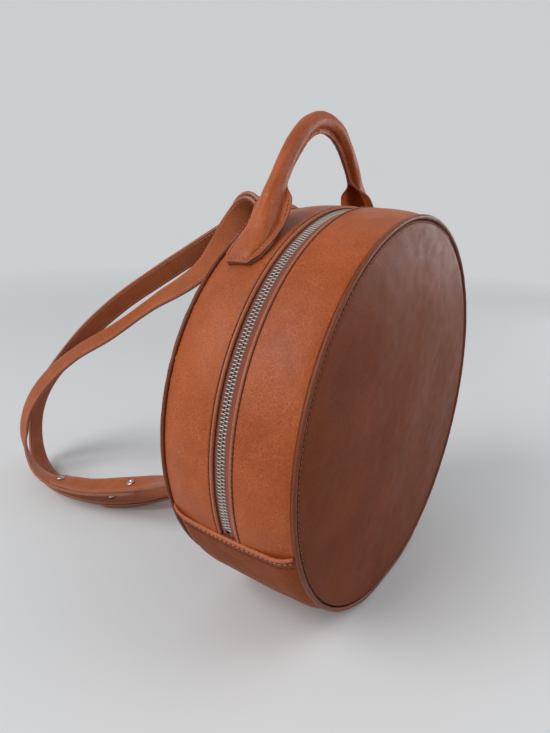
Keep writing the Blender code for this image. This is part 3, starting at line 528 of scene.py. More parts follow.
def build_side_band(name, side, seed):
    lip, row_y = LIP_EDGE[side], LIP_ROW[side]
    ys, offs, outer_count = side_section(lip)
    clear = GAP / 2 / R
    angles = np.linspace(-FOLD + clear, math.pi + FOLD - clear, 760)
    points = band_points(side * ys, offs, outer_count, angles, seed, lip, row_y)
    kinds = [1 if j < outer_count - 1 and ys[j + 1] <= row_y else 0 for j in range(len(ys))]
    made = grid(name, lift(press(points)), [TAN, LIP], kinds=kinds)
    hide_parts("back_gusset" if side > 0 else "front_gusset")
    row_angles = np.linspace(-FOLD + ROW_CLEAR, math.pi + FOLD - ROW_CLEAR, 500)
    row = polar(CROWN - ROW_SINK, side * row_y, row_angles)
    threads = stitch_row(name + "_stitches", lift(row), spun(1.0, 0.0, row_angles), THREAD,
                         radius=0.00058, hole=0.00078)
    to_half(made, side)
    to_half(threads, side)


BASE_COLUMNS, BASE_LAP = 60, 0.0105
OVER_BAND = 0.0004  # the base band's height over the side bands that it laps
EDGE_R, EDGE_UP, EDGE_RISE, EDGE_END = 0.00125, 0.0019, 0.0040, 0.0492
EDGE_ROWS = (0.0044, 0.0088)
BASE_GROOVE, BASE_ROW_SINK = 0.00026, 0.00012
BEAD_REACH, ROW_REACH = 0.0496, 0.0485  # half the lengths of the bead and of its rows


def edge_line(y, drop=0.0):
    """Angle of the base band's folded lip across the bag, with drop below it."""
    rise = EDGE_RISE / R * (np.abs(y) / EDGE_END) ** 3
    return -FOLD + EDGE_UP / R + rise - drop / R


def base_relief(y, angle, plain=False):
    """How far the base band stands off its plain shape; plain leaves out the stitch grooves."""
    points = polar(0.0, y, angle)
    flat = np.clip((points[..., 2] + R * 0.93) / 0.01, 0, 1)
    soft = uneven(points, 41, 0.05, 0.00018, 0.015, 0.00006) * flat
    if plain:
        return soft
    for drop in EDGE_ROWS:
        own = edge_line(y, drop)
        for line in (own, math.pi - own):
            away = (np.mod(angle - line + math.pi, math.tau) - math.pi) * R
            soft = soft - BASE_GROOVE * dip(away, GROOVE_WIDTH)
    puckers = SEAM_DIP * wave(angle * R, GATHER) * dip(np.abs(y) - SEAM, SEAM_WIDTH)
    return soft - puckers * flat


def build_base():
    face = SEAM * np.sin(np.linspace(-1, 1, BASE_COLUMNS) * math.pi / 2)
    back = face[::-5]
    ys = np.concatenate([face, back])
    offs = np.concatenate([base_outer(face), base_outer(back) - LEATHER])
    wide = BASE_LAP / R
    angles = np.linspace(math.pi + FOLD - wide, math.tau - FOLD + wide, 460)
    y, angle = np.meshgrid(ys, angles)
    top = math.tau + edge_line(y)
    angle = np.clip(angle, 3 * math.pi - top, top)
    lapped = np.where(np.arange(len(ys)) < BASE_COLUMNS, side_outer(ys) + OVER_BAND, -1)
    off = np.maximum(offs, lapped) + base_relief(y, angle)
    made = grid("base_band", lift(press(polar(off, y, angle))), [BASE_SHADED])
    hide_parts("base_gusset")
    to_bag(made)
    for word, side in (("left", -1), ("right", 1)):
        build_base_edge(word, side)


def build_base_edge(word, side):
    """The rolled edge of the base band over the side bands, with its rows of stitches."""
    def turned(own):
        return own if side > 0 else math.pi - own

    steps = np.linspace(-1, 1, 110)
    line_y = BEAD_REACH * steps
    line = turned(edge_line(line_y))
    thin = EDGE_R * np.clip((1.02 - np.abs(steps)) / 0.05, 0.5, 1) ** 0.5
    over = (np.maximum(side_outer(line_y), base_outer(line_y))
            + base_relief(line_y, line, plain=True) + thin * 0.55)
    wobble = 1 + 0.05 * np.sin(line_y / STITCH * math.tau)
    rings = [polar(over + thin * wobble * c, line_y, line + thin * 1.15 * s / R)
             for c, s in circle(14)]
    bead = grid("base_edge_bead_" + word, lift(np.stack(rings, axis=1)), [LIP])
    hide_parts("base_edge_" + word)
    to_bag(bead)
    row_y = np.linspace(-ROW_REACH, ROW_REACH, 160)
    for number, drop in enumerate(EDGE_ROWS):
        line = turned(edge_line(row_y, drop))
        over = np.maximum(side_outer(row_y) + OVER_BAND, base_outer(row_y))
        over += base_relief(row_y, line, plain=True) - BASE_ROW_SINK
        row = polar(over, row_y, line)
        to_bag(stitch_row("base_stitches_%s_%d" % (word, number), lift(row),
                          unit(row * np.array([1, 0, 1])), (PALE_THREAD, THREAD)[number],
                          radius=0.00042))


# Discs and piping

DISC_STITCH = RIM - 0.0016
DISC_SWELL, DISC_EDGE, DISC_TURN = 0.0012, 0.0024, 0.0019
DISC_GROOVE, DISC_PUCKER, DISC_SINK = 0.00022, 0.0002, 0.0002


def disc_profile():
    """Radius and depth of a disc's outer face, its turned edge and its inside."""
    inner = RIM - DISC_EDGE
    turn = np.linspace(0, 1, 9)[1:]
    face = inner * np.linspace(0, 1, 46)[1:] ** 0.8
    rs = np.concatenate([face, inner + DISC_EDGE * turn, [RIM - DISC_EDGE * 2, RIM * 0.5]])
    ys = np.concatenate([HALF + DISC_SWELL * (1 - (face / inner) ** 2),
                         HALF - DISC_TURN * (1 - np.sqrt(1 - turn * turn)), [HALF - LEATHER] * 2])
    return rs, ys


def build_disc(name, side, nodes, seed):
    rs, ys = disc_profile()
    r, angle = np.meshgrid(rs, np.linspace(0, math.tau, 360, endpoint=False))
    flat = spun(r, ys, angle)
    soft = uneven(flat, seed, 0.085, 0.00035, 0.02, 0.00006)
    soft *= np.clip((RIM - 0.003 - r) / 0.02, 0, 1)
    outer = np.arange(len(rs)) < len(rs) - 2
    waves = wave(angle * RIM, STITCH)
    soft -= outer * (DISC_GROOVE + GROOVE_WAVE * waves) * dip(r - DISC_STITCH, 0.0008)
    soft -= outer * DISC_PUCKER * waves * dip(r - RIM + 0.0008, 0.0012)
    points = lift(press(spun(r, side * (ys + soft), angle)))
    nu, nv = points.shape[:2]
    verts = list(points.reshape(-1, 3))
    verts.append(np.array([0, side * (HALF + DISC_SWELL), AXIS]))
    verts.append(np.array([0, side * (HALF - LEATHER), AXIS]))
    faces = []
    for i in range(nu):
        a, b = i * nv, ((i + 1) % nu) * nv
        faces += [(a + j, a + j + 1, b + j + 1, b + j) for j in range(nv - 1)]
        faces.append((nu * nv, a, b))
        faces.append((nu * nv + 1, b + nv - 1, a + nv - 1))
    made = make_object(name, verts, faces, [DISC_TONE_AND_SHADE])
    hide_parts(*nodes)
    depth = np.interp(DISC_STITCH, rs[:-2], ys[:-2]) - DISC_SINK
    row = spun(DISC_STITCH, side * depth, np.linspace(0, math.tau, 700))
    outward = np.tile([0.0, side, 0.0], (len(row), 1))
    return made, stitch_row(name + "_stitches", lift(press(row)), outward, DISC_THREAD,
                            hole=0.00060)


def build_piping(name, side, nodes, seed):
    angles = np.linspace(0, math.tau, 520, endpoint=False)
    bumps = 0.05 * ripple(spun(PIPE_R, side * PIPE_Y, angles), 0.012, seed)
    fat = PIPE * 0.93 * (1 + bumps + 0.02 * np.cos(angles * R / STITCH * math.tau))
    rings = [spun(PIPE_R + fat * c, side * (PIPE_Y + fat * s), angles) for c, s in circle(14)]
    made = grid(name, lift(press(np.stack(rings, axis=1))), [BEAD], wrap_u=True)
    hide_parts(*nodes)
    return made


def build_faces():
    for side, word, panels, pipes in (
            (1, "back", ["back_panel"], ["back_piping"]),
            (-1, "front", ["front_panel", "front_panel_lower"],
             ["front_piping", "front_piping_lower"])):
        disc, threads = build_disc(word + "_disc", side, panels, 60 + side)
        pipe = build_piping(word + "_bead", side, pipes, 70 + side)
        for made in (disc, threads, pipe):
            to_half(made, side)


# Zip

PITCH = 0.0025
STOP_AT, STOP = 0.0012, 0.0022  # place and length of the stops at both ends
CHAIN_START = -FOLD + (STOP_AT + (STOP + GAP) * 2) / R
CHAIN_END = math.pi + FOLD - (STOP_AT + STOP + GAP) / R
# Rings of a tooth from its clamp to its nose: place, half width, half height
TOOTH_ROWS = ((-0.0037, 0.00046, 0.00058), (-0.0035, 0.00060, 0.00082),
              (-0.0016, 0.00062, 0.00090), (-0.0011, 0.00054, 0.00088),
              (0.0004, 0.00054, 0.00086), (0.00085, 0.00034, 0.00060))
TOOTH_CORNERS = ((-1, -0.6), (-0.7, -1), (0.7, -1), (1, -0.6), (1, 0.6), (0.7, 1), (-0.7, 1),
                 (-1, 0.6))
# The tape's section at its corded edge: height over the chain's middle, distance from it
TAPE_CORD = ((-0.0004, 0.0015), (0.0001, 0.0013), (0.0005, 0.0017), (0.0006, 0.0024),
             (0.0005, 0.0032), (0.0003, 0.0043))
TAPE_WIDTH, TAPE_STEPS, TAPE_RIB = 0.0105, 14, 0.00004
TAPE_SEWN = 0.0075  # width of the tape that is sewn under a band


def chain_axes(angles, side):
    """Directions of a tooth at each angle; side is +1 for the back row."""
    return np.stack([spun(1.0, 0.0, angles + math.pi / 2), spun(0.0, -side, angles),
                     spun(1.0, 0.0, angles)], axis=1)


def build_zip():
    verts = [(w * cx, y, h * cz) for y, w, h in TOOTH_ROWS for cx, cz in TOOTH_CORNERS]
    count = int((CHAIN_END - CHAIN_START) / (PITCH / R) - 0.5)
    faces = rod_faces(count, len(TOOTH_ROWS), len(TOOTH_CORNERS))
    level, edge = TAPE_CORD[-1]
    section = list(TAPE_CORD)
    for k in range(1, TAPE_STEPS + 1):
        section.append((level + TAPE_RIB * (k % 2), edge + TAPE_WIDTH * k / TAPE_STEPS))
    section.append((-level, edge + TAPE_WIDTH))
    for word, side, shift in (("back", 1, 0.25), ("front", -1, 0.75)):
        angles = CHAIN_START + (np.arange(count) + shift) * PITCH / R
        placed = np.einsum("vk,nkc->nvc", verts, chain_axes(angles, side))
        placed += lift(polar(CHAIN_OUT, 0.0, angles))[:, None, :]
        teeth = make_object("zip_teeth_row_" + word, placed, faces, [TEETH])
        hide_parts("zip_teeth_" + word)
        angles = np.linspace(-FOLD + GAP / R, math.pi + FOLD - GAP / R, 460)
        rows = np.stack([polar(CHAIN_OUT + off, side * y, angles) for off, y in section], axis=1)
        uv = np.stack(np.meshgrid([y for off, y in section], angles * R)[::-1], axis=-1)
        tape = grid("zip_tape_cloth_" + word, lift(rows), [TAPE], uv=uv)
        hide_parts("zip_tape_" + word)
        to_half(teeth, side)
        to_half(tape, side)


def show_cad(material, slot, *nodes):
    """Keep CAD nodes in view with a finished material."""
    for node in nodes:
        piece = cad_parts[node]
        piece.data.materials.clear()
        piece.data.materials.append(material)


# Handle

HANDLE_Y = 0.029
TAB_WIDTH, TAB_THICK, TAB_LENGTH = 0.026, 0.002, 0.044
TAB_TIP = math.radians(49.0)
ROLL, ROLL_LEATHER = 0.0060, 0.0018
ARCH, ARCH_HALF = 0.0621, 0.072  # height of the crest over the bag, half width of the arch
LEAF_BASE = R + side_outer(HANDLE_Y - TAB_WIDTH / 2) + TAB_THICK + GAP * 2
# Share of the tab's length, opening of the roll in degrees, share of its width, share of lift
LEAF_ROWS = ((0.05, 14, 0.70, 0.0), (0.25, 30, 0.74, 0.0), (0.45, 55, 0.70, 0.0),
             (0.62, 85, 0.63, 0.04), (0.78, 125, 0.565, 0.15), (0.92, 170, 0.54, 0.35))
# Shares of the arch's half width and height
ARCH_ROWS = ((0.95, 0.28), (0.79, 0.477), (0.65, 0.65), (0.49, 0.807), (0.293, 0.933), (0.0, 1.0))


def handle_line():
    """The handle's top line as x and z, from its right end over the crest to its left end."""
    rows = []
    for share, opening, width, lifted in LEAF_ROWS:
        turn = math.radians(opening)
        outer = TAB_WIDTH * width / 2 / math.sin(min(turn, math.pi / 2))
        depth = outer * (1 - math.cos(turn)) + ROLL_LEATHER * max(0.0, math.cos(turn))
        angle = TAB_TIP + TAB_LENGTH / R * share
        reach = LEAF_BASE + depth + ROLL * lifted
        rows.append((reach * math.cos(angle), reach * math.sin(angle)))
    crest = R + CROWN + ARCH + ROLL
    foot = LEAF_BASE * math.sin(TAB_TIP + TAB_LENGTH / R)
    rows += [(ARCH_HALF * out, foot + (crest - foot) * rise) for out, rise in ARCH_ROWS]
    return catmull(rows + [(-x, z) for x, z in reversed(rows[:-1])], 220)


HANDLE_START, HANDLE_STITCH = 0.0022, 0.0034
# Distance from the handle's end, with half the leaf's width, half the dome's width, the
# depth of the leaf's rim and half the width of the patch under it
LEAF_WIDTHS = ((0.0022, 0.0090), (0.0090, 0.0142), (0.020, 0.0158), (0.036, 0.0158),
               (0.050, 0.0150), (0.058, 0.0135), (0.066, 0.0095), (0.074, 0.0060))
DOME_WIDTHS = ((0.0022, 0.0062), (0.008, 0.0088), (0.016, 0.0108), (0.026, 0.0112),
               (0.038, 0.0100), (0.050, 0.0082), (0.065, 0.0066))
FLANGE_DEPTHS = ((0.026, 0.0080), (0.040, 0.0105), (0.055, 0.0110), (0.075, 0.0115))
PATCH_END = ((0.024, 0.0150), (0.034, 0.0125), (0.041, 0.0085), (0.044, 0.0040))
FLANGE, RIM_INSET = 0.0014, 0.0023
TUBE_TURN, FIN = math.radians(167), 0.0034
DOMED, ROLLED = 0.6, 0.8  # shares of the half section in the leaf's dome and in the roll
# Where changes along the handle start, and their lengths: past its end, off the bag, from
# leaf to roll, into the grip
OFF_END, OFF_BAG, TO_ROLL, TO_GRIP = (0.0022, 0.010), (0.030, 0.022), (0.060, 0.018), (0.070, 0.03)
END_DROP, CREASE, SWELL = 0.0015, 0.00016, 0.00018
STITCH_LIFT, CORD_R, CORD_START = 0.00002, 0.0036, 0.080
PATCH_START, PATCH_INSET = 0.0030, 0.0006


def table(pairs, at):
    return np.interp(at, *zip(*pairs))


def ease(at, start, over):
    """A smooth step from 0 at the start to 1 at the length over past it."""
    x = np.clip((at - start) / over, 0, 1)
    return x * x * (3 - 2 * x)


def handle_sections():
    """Places on the handle's top line, directions into it, distances from its nearer end, and
    its sections: (y, depth) of the outer face, directions into the leather, thickness."""
    places = np.insert(handle_line(), 1, HANDLE_Y, axis=1)
    lengths = along(places)
    at = HANDLE_START + np.minimum(lengths, lengths[-1] - lengths)
    reach = np.hypot(places[:, 0], places[:, 2])
    lower = END_DROP * (1 - ease(at, *OFF_END))
    places[:, [0, 2]] *= ((reach - lower) / reach)[:, None]
    soft = places.copy()
    for _ in range(25):
        soft[2:-2] = (soft[:-4] + soft[1:-3] + soft[2:-2] + soft[3:-1] + soft[4:]) / 5
    keep = ease(at, *TO_GRIP)[:, None]
    places = places * (1 - keep) + soft * keep
    height = np.maximum(np.hypot(places[:, 0], places[:, 2]) - LEAF_BASE, FLANGE)
    inward = np.cross(ways(places), np.array([0.0, 1.0, 0.0]))
    inward[np.sum(inward * -places, axis=1) < 0] *= -1
    depth = np.minimum(height - FLANGE, table(FLANGE_DEPTHS, at))
    half, dome_half = table(LEAF_WIDTHS, at), table(DOME_WIDTHS, at)
    leaf = 1 - ease(at, *TO_ROLL)
    rest = 1 - ease(at, *OFF_BAG)
    t = np.linspace(-1, 1, 65)
    size, way = np.abs(t), np.sign(t)
    turn = TUBE_TURN * np.clip(size / ROLLED, 0, 1)
    tube_v = way * ROLL * np.sin(turn)
    tube_d = ROLL * (1 - np.cos(turn)) + FIN * np.clip((size - ROLLED) / (1 - ROLLED), 0, 1)
    share = np.clip(size / DOMED, 0, 1) * math.pi / 2
    rim = np.clip((size - DOMED) / (1 - DOMED), 0, 1)
    sections = []
    for i in range(len(at)):
        v = way * (dome_half[i] * np.sin(share) + (half[i] - dome_half[i]) * rim)
        d = depth[i] * (1 - np.cos(share) ** 0.85)
        droop = side_outer(HANDLE_Y - TAB_WIDTH / 2) - side_outer(HANDLE_Y + v)
        d = d + rest[i] * np.maximum(droop, 0)
        v = leaf[i] * v + (1 - leaf[i]) * tube_v
        d = leaf[i] * d + (1 - leaf[i]) * tube_d
        thick = leaf[i] * FLANGE + (1 - leaf[i]) * ROLL_LEATHER
        normal = unit(np.stack([-np.gradient(d), np.gradient(v)], axis=-1))
        sections.append((np.stack([v, d], axis=-1), normal, thick))
    return places, inward, at, sections


def to_space(place, inward, point):
    return place + np.array([0.0, 1.0, 0.0]) * point[..., :1] + inward * point[..., 1:]


def build_handle():
    places, inward, at, sections = handle_sections()
    lengths = along(places)
    rings = []
    for i, (outer, normal, thick) in enumerate(sections):
        angle = np.linspace(-1, 1, len(outer)) * math.pi
        crease, swell = (
            ripple(np.stack([lengths[i] / size + 0 * angle, angle * turn, 0 * angle], axis=-1),
                   1.0, seed) for size, turn, seed in ((0.006, 0.9, 91), (0.03, 1.0, 92)))
        grip = ease(at[i], *TO_GRIP) * (0.2 + 0.8 * (1 - np.cos(angle)) / 2)
        change = crease * CREASE * grip + swell * SWELL * ease(at[i], 0.01, 0.03)
        face = outer - normal * change[:, None]
        soft = outer + normal * thick
        middle = [face[-1] * 0.5 + soft[-1] * 0.5, face[0] * 0.5 + soft[0] * 0.5]
        ring = np.vstack([face, middle[:1], soft[::-2], middle[1:]])
        rings.append(to_space(places[i], inward[i], ring))
    count, total = len(sections[0][0]), len(rings[0])
    kinds = [1 if j in (count - 1, count, total - 2, total - 1) else 0 for j in range(total)]
    made = grid("handle_roll", lift(np.stack(rings, axis=0)), [HANDLE, EDGE], kinds=kinds)
    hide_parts("handle_leather")
    to_bag(made)
    sewn = np.flatnonzero(at > HANDLE_START + RIM_INSET)
    for word, way in (("front", 1), ("back", -1)):
        path, normals = [], []
        for i in sewn:
            line, facing = sections[i][0][::way], sections[i][1][::way]
            place = min(RIM_INSET, table(LEAF_WIDTHS, at[i]) * 0.5)
            cut, away = (sample(part, along(line), place) for part in (line, facing))
            path.append(to_space(places[i], inward[i], cut - away * STITCH_LIFT))
            normals.append(to_space(0 * places[i], inward[i], -away))
        sew_handle("handle_stitches_" + word, np.array(path), np.array(normals))
    for word, i in (("left", sewn[-1]), ("right", sewn[0])):
        outer, normal, thick = sections[i]
        keep = np.abs(outer[:, 0]) < table(LEAF_WIDTHS, at[i]) - RIM_INSET
        path = to_space(places[i], inward[i], outer[keep] - normal[keep] * STITCH_LIFT)
        sew_handle("handle_tip_stitches_" + word, path,
                   to_space(0 * places[i], inward[i], -normal[keep]))


def sew_handle(name, path, normals):
    to_bag(stitch_row(name, lift(path), normals, RED_THREAD, pitch=HANDLE_STITCH))


def build_cord():
    """The cord inside the roll; it ends where the leather opens into the leaf."""
    places, inward, at = handle_sections()[:3]
    ring = np.array([(CORD_R * s, ROLL + CORD_R * c) for c, s in circle(14)])
    rings = [to_space(places[i], inward[i], ring) for i in np.flatnonzero(at > CORD_START)]
    made = grid("handle_cord", lift(np.array(rings)), [CORD])
    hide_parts("handle_core")
    to_bag(made)


def build_tabs():
    """The layer under each leaf, a little inside the leaf's own outline."""
    across = np.concatenate([np.linspace(-1, 1, 25), [1.0], np.linspace(1, -1, 13), [-1.0]])
    level = np.concatenate([np.ones(25), [0.4], np.zeros(13), [0.4]])
    kinds = [1 if (24 <= j <= 25 or j >= 38) else 0 for j in range(len(across))]
    for word, side in (("left", -1), ("right", 1)):
        rows = []
        for place in np.linspace(PATCH_START, TAB_LENGTH, 48):
            under = min(table(LEAF_WIDTHS, place) - PATCH_INSET, table(PATCH_END, place))
            y = HANDLE_Y + under * across
            rise = side_outer(y) + GAP * 0.3 + (TAB_THICK + GAP) * level
            rows.append(polar(rise, y, TAB_TIP + place / R) * np.array([side, 1, 1]))
        made = grid("handle_patch_" + word, lift(np.array(rows)), [HANDLE, EDGE], kinds=kinds)
        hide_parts("handle_tab_" + word)
        to_bag(made)


# Straps

STRAP_W, STRAP_T = 0.0200, 0.0032
# Points of each strap's run in thousandths of the drum's radius, of the reach behind the bag
# and of the drop to the floor, with the strap's twist in degrees
STRAP_SHARES = {
    # Left strap
    -1: ((0, 0, 0, 0), (-4, 17, -4, 3), (-20, 46, -29, 12), (-33, 88, -47, 35),
         (-40, 147, 17, 75), (-47, 263, 162, 110), (-60, 452, 286, 133), (-133, 607, 406, 132),
         (-220, 750, 505, 128), (-307, 873, 625, 115), (-367, 955, 752, 109),
         (-420, 961, 872, 103), (-493, 857, 932, 130), (-553, 705, 930, 167),
         (-520, 552, 911, 188), (-447, 413, 874, 197), (-393, 293, 832, 188),
         (-480, 140, 756, 158), (-693, 0, 693, 112)),
    # Right strap: it leans over the middle and lies behind the left one
    1: ((0, 0, 0, 0), (-3, 17, -4, 1), (-13, 46, -29, 5), (-37, 88, -38, 12), (-73, 147, -8, 22),
        (-120, 257, 68, 38), (-147, 452, 192, 48), (-207, 604, 300, 44), (-273, 731, 413, 36),
        (-333, 844, 536, 22), (-367, 955, 664, 6), (-400, 1019, 787, -8), (-440, 1026, 915, -20),
        (-507, 961, 989, -18), (-593, 835, 1002, -5), (-613, 698, 1002, 0), (-507, 549, 1000, 4),
        (-293, 406, 968, 18), (80, 225, 876, 36), (467, 69, 759, 58), (693, 0, 693, 68)),
}
STRAP_X, STRAP_TOP, STRAP_REACH, STRAP_LOW = 0.014, 0.0112, 0.3082, 0.0075
REAR_SHARE, STUD_SPACE, STUD_LAP = 0.697, 0.090, 0.012
ROOT_LENGTH, ROOT_ROW = 0.042, 0.0385
SEW_INSET, SEW_TRIM, SEW_SINK, SEW_LEAST = 0.0024, 0.0035, 0.0001, 0.0012
STRAP_WAVE, STRAP_GROOVE, ROOT_ROW_HALF = 0.00012, 0.00018, 0.0075
STUD_R, STUD_POST, STUD_THICK, STUD_CLEAR = 0.0038, 0.0019, 0.0016, 0.0003


class StrapRun:
    """Middle line of a strap with its width direction and its normal."""

    def __init__(self, side):
        top = np.array([side * STRAP_X, HALF + GAP, R - STRAP_TOP])
        drop = AXIS + top[2] - STRAP_LOW
        line = catmull(STRAP_SHARES[side], 420)
        self.spots = top + line[:, :3] / 1000 * np.array([R, STRAP_REACH, -drop])
        way = ways(self.spots)
        way[0], way[-1] = (0, 1, 0), (0, -1, 0)
        level = unit(np.array([1.0, 0, 0]) - way * way[:, :1])
        twist = np.radians(line[:, 3])[:, None]
        self.across = level * np.cos(twist) + np.cross(way, level) * np.sin(twist)
        self.normal = np.cross(self.across, way)
        self.lengths = along(self.spots)
        self.rear = self.lengths[-1] * REAR_SHARE
        self.front = self.rear + STUD_SPACE
        self.upper_end = self.front + STUD_LAP
        self.lower_start = self.rear - STUD_LAP

    def at(self, where):
        return (sample(self.spots, self.lengths, where),
                unit(sample(self.across, self.lengths, where)),
                unit(sample(self.normal, self.lengths, where)))


# Rounded section of a strip, as shares of its half width and half thickness
STRIP = [(-0.9, 1), (-0.55, 1), (0, 1), (0.55, 1), (0.9, 1), (0.965, 0.88), (1, 0.5), (1, -0.5),
         (0.965, -0.88)]
STRIP += [(-a, -b) for a, b in STRIP]


def strip_kind(near, far):
    """Material between two points of the section: outer face, inner face or edge."""
    if abs(near[0]) > 0.93 and abs(far[0]) > 0.93:
        return 2
    return 0 if near[1] > 0.5 and far[1] > 0.5 else 1


def half_width(where, start, end, round_start, round_end):
    """Half the width of a strap, less towards an end that is cut round."""
    share = np.ones_like(where)
    r = STRAP_W / 2
    for rounded, distance in ((round_start, where - start), (round_end, end - where)):
        if rounded:
            d = np.clip(distance, 0, r)
            share = np.minimum(share, np.sqrt(np.clip(1 - ((r - d) / r) ** 2, 0.0, 1)))
    return np.maximum(share, 0.12) * r


def strap_piece(name, run, start, end, shift, node, seed, round_start=False,
                round_end=False):
    count = max(40, int((end - start) / 0.0021))
    fine = STRAP_W / 2 * (1 - np.cos(np.linspace(0, math.pi / 2, 9)))
    where = np.unique(np.concatenate([np.linspace(start, end, count),
                                      start + fine if round_start else [],
                                      end - fine if round_end else []]))
    spot, across, normal = run.at(where)
    half = half_width(where, start, end, round_start, round_end)
    waves = ripple(spot, 0.03, seed) * STRAP_WAVE
    rings = []
    for a, b in STRIP:
        away = abs(a) * STRAP_W / 2 - (STRAP_W / 2 - SEW_INSET)
        groove = STRAP_GROOVE * dip(away, 0.0009) if abs(b) == 1 else 0.0
        rise = shift + b * (STRAP_T / 2 - groove) + waves
        rings.append(spot + across * (a * half)[:, None] + normal * rise[:, None])
    kinds = [strip_kind(*pair) for pair in zip(STRIP, STRIP[1:] + STRIP[:1])]
    made = grid(name, lift(np.stack(rings, axis=1)), [STRAP, INNER_SHADED, STRAP_EDGE], kinds=kinds)
    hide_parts(node)
    bend_strap(made)
    sewn = np.linspace(start + SEW_TRIM, end - SEW_TRIM, count * 2)
    spot, across, normal = run.at(sewn)
    half = np.maximum(half_width(sewn, start, end, round_start, round_end) - SEW_INSET, SEW_LEAST)
    for face, word in ((1, "outer"), (-1, "inner")):
        for edge, tag in ((1, "a"), (-1, "b")):
            row = (spot + across * (edge * half)[:, None]
                   + normal * (shift + face * (STRAP_T / 2 - SEW_SINK)))
            threads = stitch_row("%s_stitches_%s_%s" % (name, word, tag), lift(row),
                                 normal * face, PALE_THREAD, radius=0.00034, hole=0.00030)
            bend_strap(threads)


def bend_strap(obj):
    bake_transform(obj)


def lathe(name, profile, spot, across, normal):
    """A turned metal piece from (radius, height) pairs along a strap's normal."""
    third = np.cross(normal, across)
    rows = [[spot + (across * c + third * s) * r + normal * h for r, h in profile]
            for c, s in circle(40)]
    return grid(name, lift(np.array(rows)), [NICKEL], wrap_u=True, wrap_v=False)


def stud_head(base, sign):
    """Profile of a stud's domed head with a small hollow in its middle."""
    thick = sign * STUD_THICK
    rows = [(0.0001, base), (STUD_R * 0.96, base), (STUD_R, base + thick * 0.18)]
    for a in np.linspace(0, 1, 9) * math.pi / 2:
        rows.append((STUD_R * (0.40 + 0.585 * math.cos(a)),
                     base + thick * (0.3 + 0.7 * math.sin(a))))
    return rows + [(STUD_R * 0.34, base + thick * 0.45), (0.0001, base + thick * 0.40)]


def build_straps():
    step = STRAP_T + GAP
    inside = -(STRAP_T / 2 + STUD_CLEAR)
    outside = STRAP_T / 2 + step + STUD_CLEAR
    for side, word in ((-1, "left"), (1, "right")):
        run = StrapRun(side)
        body = "strap_" + word
        strap_piece("strap_long_" + word, run, 0, run.upper_end, 0, "strap_upper_" + word,
                    5, round_end=True)
        strap_piece("strap_short_" + word, run, run.lower_start, run.lengths[-1], step,
                    "strap_lower_" + word, 6, round_start=True)
        strap_piece("strap_root_" + word, run, 0, ROOT_LENGTH, step, "strap_top_tab_" + word,
                    7)
        spot, across, normal = run.at(np.full(40, ROOT_ROW))
        path = (spot + across * np.linspace(-ROOT_ROW_HALF, ROOT_ROW_HALF, 40)[:, None]
                + normal * (step + STRAP_T / 2 - SEW_SINK))
        bend_strap(stitch_row("strap_cross_stitches_" + word, lift(path), normal, RED_THREAD))
        for number, where in (("rear", run.rear), ("front", run.front)):
            spot, across, normal = run.at(where)
            post = [(0.0001, inside), (STUD_POST, inside), (STUD_POST, outside)]
            head = lathe("stud_head_%s_%s" % (number, word), post + stud_head(outside, 1)[1:],
                         spot, across, normal)
            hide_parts("stud_post_%s_%s" % (number, word))
            cap = lathe("stud_button_%s_%s" % (number, word), stud_head(inside, -1), spot,
                        across, normal)
            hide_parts("stud_cap_%s_%s" % (number, word))
            for made in (head, cap):
                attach(made, body)


# Linings

def build_linings():
    face = HALF - LEATHER - BOARD - GAP * 2
    band = np.linspace(ZIP_HALF + TAPE_SEWN + GAP, face, 14)
    reach = R + side_outer(band) - LEATHER - GAP - LINING
    rs = np.concatenate([reach, reach[-1] * np.linspace(1, 0.02, 24)[1:]])
    ys = np.concatenate([band[:-1], [face - LINING] * 24])
    r, angle = np.meshgrid(rs, np.linspace(0, math.tau, 300, endpoint=False))
    for side, word, nodes in ((1, "back", ["back_lining"]),
                              (-1, "front", ["front_lining", "front_lining_lower"])):
        flat = spun(r, side * ys, angle)
        soft = np.abs(ripple(flat, 0.05, 81 + side) * 0.0003)
        uv = np.stack([flat[..., 0], flat[..., 2] + flat[..., 1]], axis=-1)
        made = grid(word + "_lining_cloth", lift(press(spun(r - soft, side * ys, angle))),
                    [CLOTH], wrap_u=True, wrap_v=False, uv=uv)
        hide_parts(*nodes)
        to_half(made, side)


build_side_band("back_band", 1, 11)
build_side_band("front_band", -1, 21)
build_base()
build_faces()
build_zip()
build_handle()
build_cord()
build_tabs()
build_straps()
build_linings()
show_cad(NICKEL, "nickel", "zip_slider", "zip_pull", "zip_top_stop_back", "zip_top_stop_front",
         "zip_bottom_stop")
show_cad(BOARD_LOOK, "board", "back_board", "front_board", "front_board_lower", "base_board")


# Stage, light and camera

FLOOR_NEAR, FLOOR_FAR = 0.36, 1.9  # the floor fades between these distances
FLOOR_SIZE, FLOOR_DROP = 14, 0.0002
LAMPS = (("window", (-1.5, 0.7, 1.35), (0, 0, 0.17), 1.3, 31),
         ("disc_top", (0.22, -0.62, 0.66), (0, 0, 0.27), 0.5, 1.9),
         ("right_wall", (1.3, -0.46, 0.34), (0, -0.05, 0.25), 0.5, 3.6))
# The photo's camera, fitted to the bag's outline and zip
CAMERA_SPOT, CAMERA_WAY = (-0.380, -0.197, 0.167 + AXIS), (0.7812, 0.5412, -0.3110)
CAMERA_SIDE, CAMERA_ROLL, CAMERA_LENS = (0.5694, -0.8220, 0), math.radians(1.46), 27.29


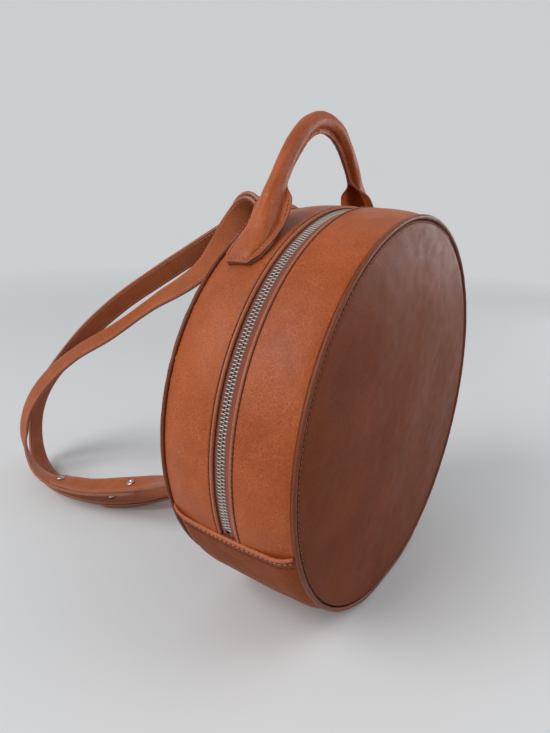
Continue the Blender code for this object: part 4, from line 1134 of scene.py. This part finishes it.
def build_stage():
    n = Nodes("floor")
    n.set(Base_Color=(0.71, 0.715, 0.715, 1), Roughness=0.7)
    gone = n.add("ShaderNodeVectorMath", [(0, n.where())], operation="LENGTH").outputs["Value"]
    n.link(n.span(gone, FLOOR_NEAR, FLOOR_FAR, 1.0, 0.0), "Alpha")
    bpy.ops.mesh.primitive_plane_add(size=FLOOR_SIZE, location=(0, 0, -FLOOR_DROP))
    floor = bpy.context.object
    floor.name = "floor"
    floor.data.materials.append(n.owner)
    n = Nodes("world", "Background", bpy.data.worlds)
    bpy.context.scene.world = n.owner
    n.set(Color=(0.86, 0.9, 0.95, 1), Strength=0.42)
    seen = n.add("ShaderNodeBackground", in_Color=(0.602, 0.617, 0.624, 1))
    path = n.add("ShaderNodeLightPath").outputs
    share = n.maths("MAXIMUM", path["Is Camera Ray"], path["Is Glossy Ray"])
    share = n.maths("MAXIMUM", share, path["Is Transmission Ray"])
    mix = n.add("ShaderNodeMixShader",
                [(0, share), (1, n.shader.outputs[0]), (2, seen.outputs[0])])
    n.tree.links.new(mix.outputs[0], n.tree.nodes["World Output"].inputs["Surface"])
    for name, spot, target, size, power in LAMPS:
        lamp = bpy.data.lights.new(name, "AREA")
        lamp.size = size
        lamp.energy = power
        made = place_object(name, lamp)
        made.location = spot
        made.rotation_euler = (Vector(target) - Vector(spot)).to_track_quat("-Z", "Y").to_euler()


def build_camera():
    forward = Vector(CAMERA_WAY).normalized()
    right = Vector(CAMERA_SIDE).normalized()
    up = right.cross(forward)
    c, s = math.cos(CAMERA_ROLL), math.sin(CAMERA_ROLL)
    right, up = right * c + up * s, up * c - right * s
    data = bpy.data.cameras.new("camera")
    data.lens = CAMERA_LENS
    data.sensor_width = 36
    data.clip_start = 0.02
    cam = place_object("camera", data)
    cam.matrix_world = Matrix((right, up, -forward)).transposed().to_4x4()
    cam.location = CAMERA_SPOT
    bpy.context.scene.camera = cam


build_stage()
build_camera()
bpy.context.scene.view_settings.view_transform = "Standard"
